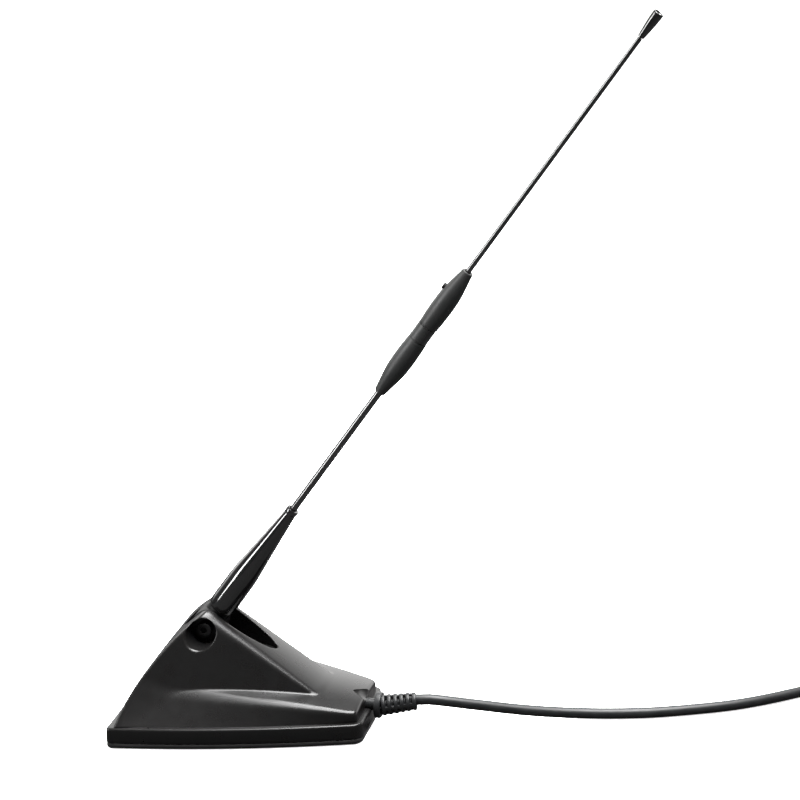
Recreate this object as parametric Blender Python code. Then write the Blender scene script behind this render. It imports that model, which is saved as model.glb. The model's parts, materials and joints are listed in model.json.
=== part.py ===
"""Folding whip antenna on a wedge-shaped vehicle base, with its coaxial lead and plug.

The frame: +X runs from the wide nose of the base to its narrow tail, where the lead leaves,
+Z is up and +Y is the side towards which the lead veers. The origin lies on the underside of
the base, half way along it. All sizes are in metres.
"""

import math

import bmesh
import bpy
from mathutils import Matrix, Vector

MM = 0.001
GAP = 0.3 * MM  # between pieces that touch on the real object

# The base
BASE_LENGTH = 109.4 * MM
NOSE_HALF_WIDTH = 50.6 * MM
TAIL_HALF_WIDTH = 19.5 * MM
SIDE_BOW = 2.9 * MM  # how far each side stands outside the straight line from nose to tail
NOSE_CORNER = 2.6 * MM
LIP = 1.0 * MM  # of the rim, in front of station zero
CORNER_RADIUS = 4.0 * MM
PAD_THICKNESS = 3.0 * MM
RIM_TOP = 10.3 * MM
LEDGE = 2.8 * MM  # from the edge of the rim to the foot of the body
WALL = 2.2 * MM
FIN_TOP = 54.3 * MM
FIN_LEAN = 0.5  # sideways per unit of height
FIN_TAPER = 0.331  # sideways per unit of length
FIN_HALF_WIDTH = 50.1 * MM  # of its side planes, where they meet the nose at the ground
SLOPE_HEIGHT = 77.4 * MM  # of the sloping back, above the nose
SLOPE_FALL = 0.662
SLOPE_HALF_WIDTH = 12.0 * MM
RIDGE_HALF_WIDTH = 35.35 * MM
RIDGE_TAPER = 0.1546
SHELF_HEIGHT = 22.3 * MM  # of the low body's top, SHELF_FROM behind the nose
SHELF_FROM = 45.0 * MM
SHELF_FALL = 0.0403
SHELF_SAG = 0.001023  # per millimetre
SHELF_ARCH = 0.0045  # per millimetre, across
RIDGE_ROUND = 2.0 * MM
CAVITY_TOP = 30.5 * MM

# The hinge and the slot that the whip folds into
HINGE_FROM_NOSE = 33.6 * MM
HINGE_HEIGHT = 44.8 * MM
SLOT_HALF_WIDTH = 7.6 * MM
SLOT_FLOOR = 33.0 * MM
SLOT_CHEEKS = (27.0 * MM, 41.0 * MM)  # where it is widest, from the nose
SLOT_FRONT = 21.0 * MM
SLOT_BACK = 64.5 * MM
POCKET_RADIUS = 6.5 * MM
POCKET_FLOOR = 9.4 * MM  # from the middle plane
PIVOT_RADIUS = 2.0 * MM
KNUCKLE_RADIUS = 7.3 * MM
KNUCKLE_HALF_WIDTH = 6.4 * MM

# The whip, measured along its axis from the hinge
WHIP_ELEVATION = math.radians(55.8)
FERRULE = (9.0 * MM, 70.6 * MM)
LOWER_ROD = (60.0 * MM, 150.0 * MM)
LOWER_ROD_RADIUS = 1.65 * MM
LOWER_SLEEVE = (141.3 * MM, 171.7 * MM)
UPPER_SLEEVE = (179.6 * MM, 210.0 * MM)
SLEEVE_RADIUS = 4.8 * MM
SLEEVE_END_RADIUS = 2.6 * MM
SLEEVE_BORE = 3.1 * MM
UPPER_ROD = (188.0 * MM, 334.4 * MM)
UPPER_ROD_RADIUS = 1.3 * MM
TIP_END = 347.3 * MM
SET_SCREW_AT = 198.5 * MM

# The lead
LEAD_RADIUS = 2.5 * MM
GLAND_HEIGHT = 11.3 * MM
GLAND_NECK_RADIUS = 2.7 * MM
GLAND_YAW = math.radians(12.0)
GLAND_RISE = math.radians(8.5)
BOOT_LENGTH = 16.5 * MM
COIL_CENTRE = Vector((0.2917, 0.0689, 0.0))
COIL_INSIDE = 20.0 * MM
COIL_OUTSIDE = 40.0 * MM
COIL_HEIGHT = 18.0 * MM
RUN_POINTS = [  # the lead's centre line from the boot to the coil
    (0.0767, 0.0036, 0.0144), (0.0803, 0.0042, 0.0146), (0.0860, 0.0058, 0.0139),
    (0.0925, 0.0082, 0.0126), (0.1049, 0.0131, 0.0100), (0.1178, 0.0183, 0.0073),
    (0.1323, 0.0241, 0.0049), (0.1494, 0.0305, 0.0031), (0.1653, 0.0354, 0.0026),
    (0.1820, 0.0411, 0.0026), (0.2071, 0.0528, 0.0026), (0.2241, 0.0635, 0.0026),
    (0.2410, 0.0769, 0.0026), (0.2465, 0.0813, 0.0026), (0.2522, 0.0857, 0.0026),
]
TAIL_POINTS = [  # and from the coil to the plug
    (0.3266, 0.0440, 0.0139), (0.3257, 0.0360, 0.0125), (0.3232, 0.0260, 0.0104),
    (0.3188, 0.0155, 0.0086), (0.3140, 0.0075, 0.0078), (0.3110, 0.0023, 0.0076),
]
PLUG_DIRECTION = Vector((-0.5, -0.866, 0.0)).normalized()

BLACK_PLASTIC = (0.020, 0.020, 0.021, 1.0)
SEGMENTS = 32

NOSE_X = -54.2 * MM  # station zero, where the fin starts
HINGE = Vector((NOSE_X + HINGE_FROM_NOSE, 0.0, HINGE_HEIGHT))
WHIP_AXIS = Vector((math.cos(WHIP_ELEVATION), 0.0, math.sin(WHIP_ELEVATION)))
GLAND = Vector((NOSE_X + BASE_LENGTH, 0.0, GLAND_HEIGHT))


# Building blocks


def clear_scene():
    """Removes the objects that a new file starts with."""
    for obj in list(bpy.data.objects):
        bpy.data.objects.remove(obj, do_unlink=True)


def finish(name, color, roughness, metallic):
    """A Principled material."""
    material = bpy.data.materials.new(name)
    material.use_nodes = True
    shader = material.node_tree.nodes["Principled BSDF"]
    shader.inputs["Base Color"].default_value = color
    shader.inputs["Roughness"].default_value = roughness
    shader.inputs["Metallic"].default_value = metallic
    return material


def empty(name, location, parent=None):
    """An empty that places what hangs on it."""
    marker = bpy.data.objects.new(name, None)
    marker.location = location
    marker.parent = parent
    bpy.context.collection.objects.link(marker)
    return marker


def place(name, bm, material, parent=None, sharp=35.0):
    """Turns a bmesh, built in the coordinates of its parent, into an object."""
    bmesh.ops.recalc_face_normals(bm, faces=bm.faces)
    mesh = bpy.data.meshes.new(name)
    bm.to_mesh(mesh)
    bm.free()
    mesh.shade_smooth()
    mesh.set_sharp_from_angle(angle=math.radians(sharp))
    mesh.materials.append(material)
    obj = bpy.data.objects.new(name, mesh)
    obj.parent = parent
    bpy.context.collection.objects.link(obj)
    return obj


def add_rings(bm, rings, closed=False):
    """Skins rings of equally many points; closed joins the last ring to the first one."""
    loops = [[bm.verts.new(point) for point in ring] for ring in rings]
    pairs = list(zip(loops, loops[1:] + loops[:1])) if closed else list(zip(loops, loops[1:]))
    for low, high in pairs:
        for i in range(len(low)):
            j = (i + 1) % len(low)
            bm.faces.new((low[i], low[j], high[j], high[i]))
    if not closed:
        bm.faces.new(loops[0])
        bm.faces.new(loops[-1])


def ring_around(centre, axis, radius, segments=SEGMENTS):
    """Points of a circle about an axis."""
    turn = Vector((0, 0, 1)).rotation_difference(axis).to_matrix()
    angles = [2 * math.pi * i / segments for i in range(segments)]
    return [centre + turn @ Vector((radius * math.cos(a), radius * math.sin(a), 0)) for a in angles]


def turned(profile, axis, start=(0, 0, 0), hollow=False, segments=SEGMENTS):
    """A turned solid. The profile lists (distance along the axis, radius); a hollow one is closed."""
    bm = bmesh.new()
    origin = Vector(start)
    rings = [ring_around(origin + axis * along, axis, radius, segments) for along, radius in profile]
    add_rings(bm, rings, closed=hollow)
    return bm


def in_mm(profile):
    """A profile written in millimetres, in metres."""
    return [(along * MM, radius * MM) for along, radius in profile]


def prism(outline, low, high):
    """An outline in the XY plane, extruded from one height to another."""
    bm = bmesh.new()
    add_rings(bm, [[Vector((x, y, z)) for x, y in outline] for z in (low, high)])
    return bm


def block(low, high):
    """A box from its lowest to its highest corner."""
    outline = [(low[0], low[1]), (high[0], low[1]), (high[0], high[1]), (low[0], high[1])]
    return prism(outline, low[2], high[2])


def combine(target, bm, operation, parent=None):
    """Joins a helper solid to the target or cuts it away."""
    label = f"{target.name}_{operation.lower()}_{len(target.modifiers)}"
    helper = place(label, bm, target.data.materials[0], parent)
    helper.hide_render = True
    helper.display_type = "WIRE"
    modifier = target.modifiers.new(label, "BOOLEAN")
    modifier.operation = operation
    modifier.object = helper
    return helper


def tube(name, points, radius, material, parent=None):
    """A round cord along points, with flat ends."""
    curve = bpy.data.curves.new(name, "CURVE")
    curve.dimensions = "3D"
    curve.bevel_depth = radius
    curve.bevel_resolution = 2
    curve.render_resolution_u = 0
    curve.use_fill_caps = True
    spline = curve.splines.new("POLY")
    spline.points.add(len(points) - 1)
    for point, co in zip(spline.points, points):
        point.co = (*co, 1.0)
    curve.materials.append(material)
    obj = bpy.data.objects.new(name, curve)
    obj.parent = parent
    bpy.context.collection.objects.link(obj)
    return obj


def smooth_line(points, step):
    """Points at even distances on a Catmull-Rom curve through the given points."""
    knots = [Vector(p) for p in points]
    knots = [2 * knots[0] - knots[1], *knots, 2 * knots[-1] - knots[-2]]
    fine = []
    for a, b, c, d in zip(knots, knots[1:], knots[2:], knots[3:]):
        for i in range(20):
            t = i / 20
            fine.append(0.5 * (2 * b + (c - a) * t + (2 * a - 5 * b + 4 * c - d) * t**2
                               + (3 * b - a - 3 * c + d) * t**3))
    fine.append(knots[-2])
    total = sum((q - p).length for p, q in zip(fine, fine[1:]))
    count = max(2, round(total / step))
    line, along, goal = [fine[0]], 0.0, total / count
    for p, q in zip(fine, fine[1:]):
        along += (q - p).length
        if along >= goal * len(line) and len(line) < count:
            line.append(q)
    return [*line, fine[-1]]


# The outline of the base


def half_width(along, inset=0.0):
    """Half the width of the rim at a distance from the nose."""
    share = along / BASE_LENGTH
    straight = NOSE_HALF_WIDTH + (TAIL_HALF_WIDTH - NOSE_HALF_WIDTH) * share
    return straight + 4 * SIDE_BOW * share * (1 - share) - inset


def base_outline(inset, steps=10):
    """The plan of the base with rounded corners, pulled in by inset."""
    front, radius = (max(corner - inset, 1.0 * MM) for corner in (NOSE_CORNER, CORNER_RADIUS))
    near_side = []
    for i in range(6):  # the nose corner
        turn = math.radians(90 * i / 5)
        along = inset - LIP + front * (1 - math.cos(turn))
        near_side.append((along, half_width(along, inset) - front * (1 - math.sin(turn))))
    first, last = inset - LIP + front, BASE_LENGTH - inset - radius
    for i in range(1, steps):
        along = first + (last - first) * i / steps
        near_side.append((along, half_width(along, inset)))
    for i in range(6):  # the tail corner
        turn = math.radians(90 * i / 5)
        along = last + radius * math.sin(turn)
        near_side.append((along, half_width(along, inset) - radius * (1 - math.cos(turn))))
    left = [(NOSE_X + x, -y) for x, y in near_side]
    return left + [(x, -y) for x, y in reversed(left)]


def nose_at(height):
    """How far the nose edge of the fin stands behind the front of the base."""
    rise = max(height - RIM_TOP, 0.0) / MM
    return (2.0 + 0.27 * rise + 0.0081 * rise**2) * MM


def side_at(along, height):
    """Half the width of the fin between its side planes."""
    return FIN_HALF_WIDTH - FIN_TAPER * along - FIN_LEAN * height


def fin_ring(height, inset=0.0, points=7):
    """The plan of the fin at one height: a bowed nose, two leaning sides and a straight back."""
    share = height / FIN_TOP
    front, back = nose_at(height) + inset + 4.5 * MM * share**3, (SLOPE_HEIGHT - height) / SLOPE_FALL - inset * 1.5
    bow = (6.0 * share**2 - 4.5 * share**3) * MM
    corner = front + bow
    wide = side_at(corner, height) - inset
    half = []
    for i in range(points):
        turn = math.radians(90 * i / (points - 1))
        half.append((front + bow * (1 - math.cos(turn)), wide * math.sin(turn)))
    for i in range(1, 5):
        along = corner + (back - corner) * i / 4
        half.append((along, side_at(along, height) - inset))
    ring = [(NOSE_X + x, y) for x, y in half]
    return [Vector((x, y, height)) for x, y in ring] + [Vector((x, -y, height)) for x, y in reversed(ring[1:])]


def fin(low, high, inset=0.0, steps=9):
    """The fin as a stack of plans, with a rounded top."""
    bm = bmesh.new()
    rings = [fin_ring(low + (high - low) * i / steps, inset) for i in range(steps + 1)]
    if not inset:
        top = rings[-1]
        middle = sum(top, Vector()) / len(top)
        for grow, shrink in ((0.7, 0.93), (1.1, 0.80), (1.3, 0.60)):
            rings.append([middle + (p - middle) * shrink + Vector((0, 0, grow * MM)) for p in top])
    add_rings(bm, rings)
    return bm


def body_ring(along, inset=0.0, lean=False):
    """The low body's cross-section at a distance from the nose."""
    behind = along - SHELF_FROM
    shelf = SHELF_HEIGHT - SHELF_FALL * behind - SHELF_SAG * behind**2 / MM
    foot_wide = half_width(along) - LEDGE
    ridge_wide = min(RIDGE_HALF_WIDTH - RIDGE_TAPER * along, foot_wide + 0.2 * MM)
    crease = max(side_at(along, shelf), 6.0 * MM)

    def arch(across):
        """The height of the low body's top, arched from side to side."""
        return shelf + SHELF_ARCH * (crease**2 - across**2) / MM

    lean_in = (foot_wide - ridge_wide) / (shelf - RIM_TOP)
    foot = 8.0 * MM if inset == 0 else 5.0 * MM
    half = [
        (foot_wide - inset, foot),
        (foot_wide - inset, RIM_TOP - inset * 0.6),
        (ridge_wide + lean_in * RIDGE_ROUND - inset, arch(ridge_wide) - RIDGE_ROUND - inset * 0.6),
        (ridge_wide - RIDGE_ROUND - inset, arch(ridge_wide - RIDGE_ROUND) - inset),
        (ridge_wide * 0.55, arch(ridge_wide * 0.55) - inset),
        (0.0, arch(0) - inset),
    ]
    ring = [(y, z) for y, z in half] + [(-y, z) for y, z in reversed(half[:-1])]
    shift = (lambda z: nose_at(z) - nose_at(RIM_TOP)) if lean else (lambda z: 0.0)
    return [Vector((NOSE_X + along + shift(z), y, z)) for y, z in ring]


def low_body(inset=0.0, steps=10):
    """The body between the rim and the ridges, from the nose to the tail."""
    bm = bmesh.new()
    first, last = LEDGE + inset, BASE_LENGTH - LEDGE - inset
    rings = [body_ring(first + (last - first) * i / steps, inset, lean=i == 0) for i in range(steps + 1)]
    add_rings(bm, rings)
    return bm


def slot_outline(steps=7):
    """The plan of the slot between the ears: a round front, parallel cheeks and a pointed back."""
    quarter = [math.radians(90 * i / (steps + 0.5)) for i in range(steps + 1)]
    half = [(SLOT_CHEEKS[0] - (SLOT_CHEEKS[0] - SLOT_FRONT) * math.cos(a), SLOT_HALF_WIDTH * math.sin(a))
            for a in quarter]
    half += [(SLOT_CHEEKS[1] + (SLOT_BACK - SLOT_CHEEKS[1]) * math.cos(a), SLOT_HALF_WIDTH * math.sin(a))
             for a in reversed(quarter)]
    left = [(NOSE_X + x, -y) for x, y in half]
    return left + [(x, -y) for x, y in reversed(left[1:-1])]


def gland_scoop():
    """The flat cone that the top gives up above the gland."""
    scoop = bmesh.new()
    axis = Vector((1, 0, 0))
    flatten = Matrix.Diagonal((1, 1, 0.36))
    rings = []
    for along, radius in ((0, 0.2), (16, 19.0)):
        ring = ring_around(Vector((along * MM, 0, 0)), axis, radius * MM, 24)
        rings.append([flatten @ p + Vector((NOSE_X + 99.6 * MM, 0, 17.0 * MM)) for p in ring])
    add_rings(scoop, rings)
    return scoop


# Where the fasteners are, as (distance from the nose, sideways)
SCREW_PLACES = [(15 * MM, -33 * MM), (15 * MM, 33 * MM), (94 * MM, -12.5 * MM), (94 * MM, 12.5 * MM)]
MAGNETS = {"magnet_front_left": (27 * MM, -17 * MM), "magnet_front_right": (27 * MM, 17 * MM),
           "magnet_rear": (64 * MM, 0.0)}
MAGNET_RADIUS = 13.0 * MM
PLATE = (3.3 * MM, 5.3 * MM)  # the lower and upper face of the base plate
PLATE_INSET = 3.0 * MM
UP = Vector((0, 0, 1))
ACROSS = Vector((0, 1, 0))


def pole(x, y, low, high, radius, segments=20):
    """An upright cylinder at a distance from the nose."""
    return turned([(low, radius), (high, radius)], UP, (NOSE_X + x, y, 0), segments=segments)


def build_housing(plastic, base):
    """The moulded wedge: rim, low body and fin, hollow from below."""
    shell = place("housing_shell", prism(base_outline(0), PAD_THICKNESS + GAP, RIM_TOP), plastic, base)
    combine(shell, low_body(), "UNION", base)
    combine(shell, fin(12 * MM, 53 * MM), "UNION", base)
    combine(shell, gland_scoop(), "DIFFERENCE", base)
    combine(shell, prism(base_outline(WALL), 0, RIM_TOP - 2 * MM), "DIFFERENCE", base)
    combine(shell, low_body(WALL), "DIFFERENCE", base)
    combine(shell, fin(11 * MM, CAVITY_TOP, WALL * 1.1, 4), "DIFFERENCE", base)
    tail = NOSE_X + BASE_LENGTH
    saddle = block((tail - 8.1 * MM, -9.5 * MM, PLATE[1] + GAP), (tail - 3.5 * MM, 9.5 * MM, 12.6 * MM))
    combine(shell, saddle, "UNION", base)
    for x, y in SCREW_PLACES:
        high = 17.0 * MM if x < BASE_LENGTH / 2 else 15.6 * MM
        combine(shell, pole(x, y, PLATE[1] + GAP, high, 3.2 * MM), "UNION", base)
        combine(shell, pole(x, y, 5 * MM, 12 * MM, 1.6 * MM, 12), "DIFFERENCE", base)
    combine(shell, prism(slot_outline(), SLOT_FLOOR, 70 * MM), "DIFFERENCE", base)
    for side in (-1, 1):
        pocket = turned([(POCKET_FLOOR, POCKET_RADIUS), (30 * MM, POCKET_RADIUS)], ACROSS * side,
                        (HINGE.x, 0, HINGE.z))
        combine(shell, pocket, "DIFFERENCE", base)
    pivot_hole = turned([(-12 * MM, PIVOT_RADIUS + GAP), (12 * MM, PIVOT_RADIUS + GAP)], ACROSS,
                        (HINGE.x, 0, HINGE.z), segments=20)
    combine(shell, pivot_hole, "DIFFERENCE", base)
    combine(shell, pole(HINGE_FROM_NOSE, 0, 28 * MM, 36 * MM, 3.5 * MM), "DIFFERENCE", base)
    bore = GLAND_NECK_RADIUS + GAP
    gland_hole = turned([(-12 * MM, bore), (4 * MM, bore)], Vector((1, 0, 0)), GLAND, segments=24)
    combine(shell, gland_hole, "DIFFERENCE", base)
    return shell


def build_underside(base, rubber, steel, magnet, zinc):
    """What closes the housing from below: pad, plate, magnets, yoke and screws."""
    pad = bmesh.new()
    rings = []
    for z, inset in ((0, 1.4), (0.5, 0.5), (1.2, 0.1), (3.0, 0.1)):
        rings.append([Vector((x, y, z * MM)) for x, y in base_outline(inset * MM)])
    add_rings(pad, rings)
    pad = place("foot_pad", pad, rubber, base)
    plate = place("base_plate", prism(base_outline(PLATE_INSET), *PLATE), steel, base)
    for name, (x, y) in MAGNETS.items():
        combine(pad, pole(x, y, 1.0 * MM, 5 * MM, MAGNET_RADIUS + GAP, 40), "DIFFERENCE", base)
        combine(plate, pole(x, y, 0, 9 * MM, MAGNET_RADIUS + GAP, 40), "DIFFERENCE", base)
        place(name, pole(x, y, 1.3 * MM, 6.3 * MM, MAGNET_RADIUS, 40), magnet, base)
    yoke = [(13, -27), (42, -28), (78, -9), (78, 9), (42, 28), (13, 27)]
    yoke = [(NOSE_X + x * MM, y * MM) for x, y in yoke]
    place("magnet_yoke", prism(yoke, 6.6 * MM, 8.0 * MM), steel, base)
    for number, (x, y) in enumerate(SCREW_PLACES, 1):
        hole = [(2 * MM, 3.1 * MM), (3.7 * MM, 3.1 * MM), (5.0 * MM, 1.8 * MM), (7 * MM, 1.8 * MM)]
        combine(plate, turned(hole, UP, (NOSE_X + x, y, 0), segments=16), "DIFFERENCE", base)
        screw = [(3.4 * MM, 2.8 * MM), (3.7 * MM, 2.8 * MM), (5.0 * MM, 1.3 * MM), (11 * MM, 1.2 * MM)]
        screw_name = f"plate_screw_{number}"
        place(screw_name, turned(screw, UP, (NOSE_X + x, y, 0), segments=16), zinc, base)


def build_electronics(base, board_green, brass, zinc):
    """The matching board, its coil, its screws and the spring that feeds the hinge."""
    at = NOSE_X + 66 * MM
    board = place("matching_board", block((at - 17 * MM, -9 * MM, 12 * MM), (at + 17 * MM, 9 * MM, 13.6 * MM)),
                  board_green, base)
    for number, side in enumerate((-1, 1), 1):
        x, y = 52 * MM, side * 6.0 * MM
        combine(board, pole(x, y, 11 * MM, 15 * MM, 1.5 * MM, 16), "DIFFERENCE", base)
        screw = [(9.0 * MM, 1.2 * MM), (13.9 * MM, 1.2 * MM), (13.9 * MM, 2.4 * MM), (15.4 * MM, 2.4 * MM)]
        place(f"board_screw_{number}", turned(screw, UP, (NOSE_X + x, y, 0), segments=16), zinc, base)
    can = block((at - 4 * MM, -6 * MM, 13.9 * MM), (at + 8 * MM, 6 * MM, 18.4 * MM))
    place("matching_can", can, zinc, base)
    spring = [(-20.0, 14.2), (-13.0, 14.2), (-13.0, 14.6), (-19.0, 14.8), (-21.0, 32.0),
              (-19.2, 36.6), (-20.4, 36.9), (-22.2, 32.2)]
    bm = bmesh.new()
    add_rings(bm, [[Vector((x * MM, y, z * MM)) for x, z in spring] for y in (-2 * MM, 2 * MM)])
    place("feed_spring", bm, brass, base)


def build_hinge(base, whip, steel, zinc):
    """The pivot bolt with its nut and washers, and the knuckle that turns on it."""
    centre = (HINGE.x, 0, HINGE.z)
    bolt = [(-POCKET_FLOOR - 2.6 * MM, 2.6 * MM), (-POCKET_FLOOR - 2.3 * MM, 3.6 * MM),
            (-POCKET_FLOOR - GAP, 3.6 * MM), (-POCKET_FLOOR - GAP, PIVOT_RADIUS), (13.5 * MM, PIVOT_RADIUS)]
    bolt = place("pivot_bolt", turned(bolt, ACROSS, centre, segments=24), zinc, base)
    socket = turned([(-14 * MM, 1.7 * MM), (-10.6 * MM, 1.7 * MM)], ACROSS, centre, segments=6)
    combine(bolt, socket, "DIFFERENCE", base)
    low, high = POCKET_FLOOR + GAP, POCKET_FLOOR + 3.2 * MM
    bore = PIVOT_RADIUS + GAP
    nut = bmesh.new()
    rings = [ring_around(Vector(centre) + ACROSS * along, ACROSS, radius, 6)
             for along, radius in ((low, bore * 1.16), (low, 4.0 * MM), (high, 4.0 * MM), (high, bore * 1.16))]
    add_rings(nut, rings, closed=True)
    place("pivot_nut", nut, zinc, base)
    for name, side in (("friction_washer_left", -1), ("friction_washer_right", 1)):
        near, far = KNUCKLE_HALF_WIDTH + GAP, SLOT_HALF_WIDTH - GAP
        ring = [(near, bore), (near, 5.5 * MM), (far, 5.5 * MM), (far, bore)]
        place(name, turned(ring, ACROSS * side, centre, hollow=True, segments=24), zinc, base)
    eye = [(-KNUCKLE_HALF_WIDTH, KNUCKLE_RADIUS - 1.2 * MM), (-KNUCKLE_HALF_WIDTH + 1.2 * MM, KNUCKLE_RADIUS),
           (KNUCKLE_HALF_WIDTH - 1.2 * MM, KNUCKLE_RADIUS), (KNUCKLE_HALF_WIDTH, KNUCKLE_RADIUS - 1.2 * MM)]
    knuckle = place("hinge_knuckle", turned(eye, ACROSS), steel, whip)
    neck = [(1.0, 5.6), (8.0, 5.6), (8.6, 5.2), (8.6, 3.0), (20.0, 3.0)]
    combine(knuckle, turned(in_mm(neck), WHIP_AXIS, segments=24), "UNION", whip)
    bore_hole = turned([(-9 * MM, bore), (9 * MM, bore)], ACROSS, segments=20)
    combine(knuckle, bore_hole, "DIFFERENCE", whip)


def build_whip(whip, tip, gloss, rubber, rod, copper, fibre, zinc):
    """The ferrule, the lower rod and the phasing coil; the upper rod slides in the upper sleeve."""
    clear = LOWER_ROD_RADIUS + GAP
    ferrule = [(9.0, 3.35), (9.0, 5.9), (9.6, 6.3), (30.0, 6.1), (46.0, 4.6), (68.0, 2.75), (68.3, 3.0),
               (70.2, 3.0), (70.6, 2.6), (70.6, clear / MM), (59.6, clear / MM), (59.6, 1.0),
               (20.6, 1.0), (20.6, 3.35)]
    place("whip_ferrule", turned(in_mm(ferrule), WHIP_AXIS, hollow=True), gloss, whip)
    low, high = LOWER_ROD
    place("lower_rod", turned([(low, LOWER_ROD_RADIUS), (high, LOWER_ROD_RADIUS)], WHIP_AXIS, segments=16),
          rod, whip)
    for name, (near, far), bore, seat in (
        ("coil_lower_sleeve", LOWER_SLEEVE, clear, LOWER_ROD[1] + GAP),
        ("coil_upper_sleeve", tuple(reversed(UPPER_SLEEVE)), UPPER_ROD_RADIUS + GAP, UPPER_ROD[0] - GAP),
    ):
        ahead = 1 if far > near else -1
        profile = [(near, bore), (near, SLEEVE_END_RADIUS)]
        profile += [(near + ahead * a * MM, r * MM) for a, r in ((8, 3.8), (15, 4.7), (21, 4.8))]
        profile += [(far, 4.4 * MM), (far, SLEEVE_BORE), (seat, SLEEVE_BORE), (seat, bore)]
        sleeve = place(name, turned(profile, WHIP_AXIS, hollow=True), rubber, whip)
    window = [(LOWER_SLEEVE[1] + GAP, SLEEVE_BORE), (LOWER_SLEEVE[1] + GAP, 4.2 * MM),
              (UPPER_SLEEVE[0] - GAP, 4.2 * MM), (UPPER_SLEEVE[0] - GAP, SLEEVE_BORE)]
    place("coil_window", turned(window, WHIP_AXIS, hollow=True), gloss, whip)
    core = [(LOWER_ROD[1] + 1 * MM, 1.2 * MM), (UPPER_ROD[0] - 4 * MM, 1.2 * MM)]
    place("coil_core", turned(core, WHIP_AXIS, segments=12), fibre, whip)
    turns, wire = 9, 0.35 * MM
    side = WHIP_AXIS.cross(ACROSS)
    helix = []
    for i in range(turns * 14 + 1):
        angle = 2 * math.pi * i / 14
        along = LOWER_ROD[1] + (3 + 24 * i / (turns * 14)) * MM
        helix.append(WHIP_AXIS * along + (side * math.cos(angle) + ACROSS * math.sin(angle)) * 2.1 * MM)
    winding = tube("phasing_coil", helix, wire, copper, whip)
    winding.data.bevel_resolution = 1
    out = -side if side.z < 0 else side
    at = WHIP_AXIS * SET_SCREW_AT
    hole = turned([(1.0 * MM, 1.8 * MM), (8 * MM, 1.8 * MM)], out, at, segments=16)
    combine(sleeve, hole, "DIFFERENCE", whip)
    screw = [(UPPER_ROD_RADIUS + GAP, 1.0 * MM), (2.4 * MM, 1.5 * MM), (5.9 * MM, 1.5 * MM), (6.2 * MM, 1.2 * MM)]
    place("set_screw", turned(screw, out, at, segments=16), zinc, whip)
    upper = [(UPPER_ROD[0], UPPER_ROD_RADIUS), (UPPER_ROD[1], 1.1 * MM), (UPPER_ROD[1], 0.6 * MM),
             (UPPER_ROD[1] + 6 * MM, 0.6 * MM)]
    place("upper_rod", turned(upper, WHIP_AXIS, segments=16), rod, tip)
    cap = [(334.8, 0.95), (334.8, 1.4), (337.0, 1.7), (345.5, 2.35), (347.3, 2.35), (347.3, 1.8),
           (346.6, 1.7), (346.6, 0.3), (340.9, 0.3), (340.9, 0.95)]
    place("tip_cap", turned(in_mm(cap), WHIP_AXIS, hollow=True, segments=24), gloss, tip)


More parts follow.
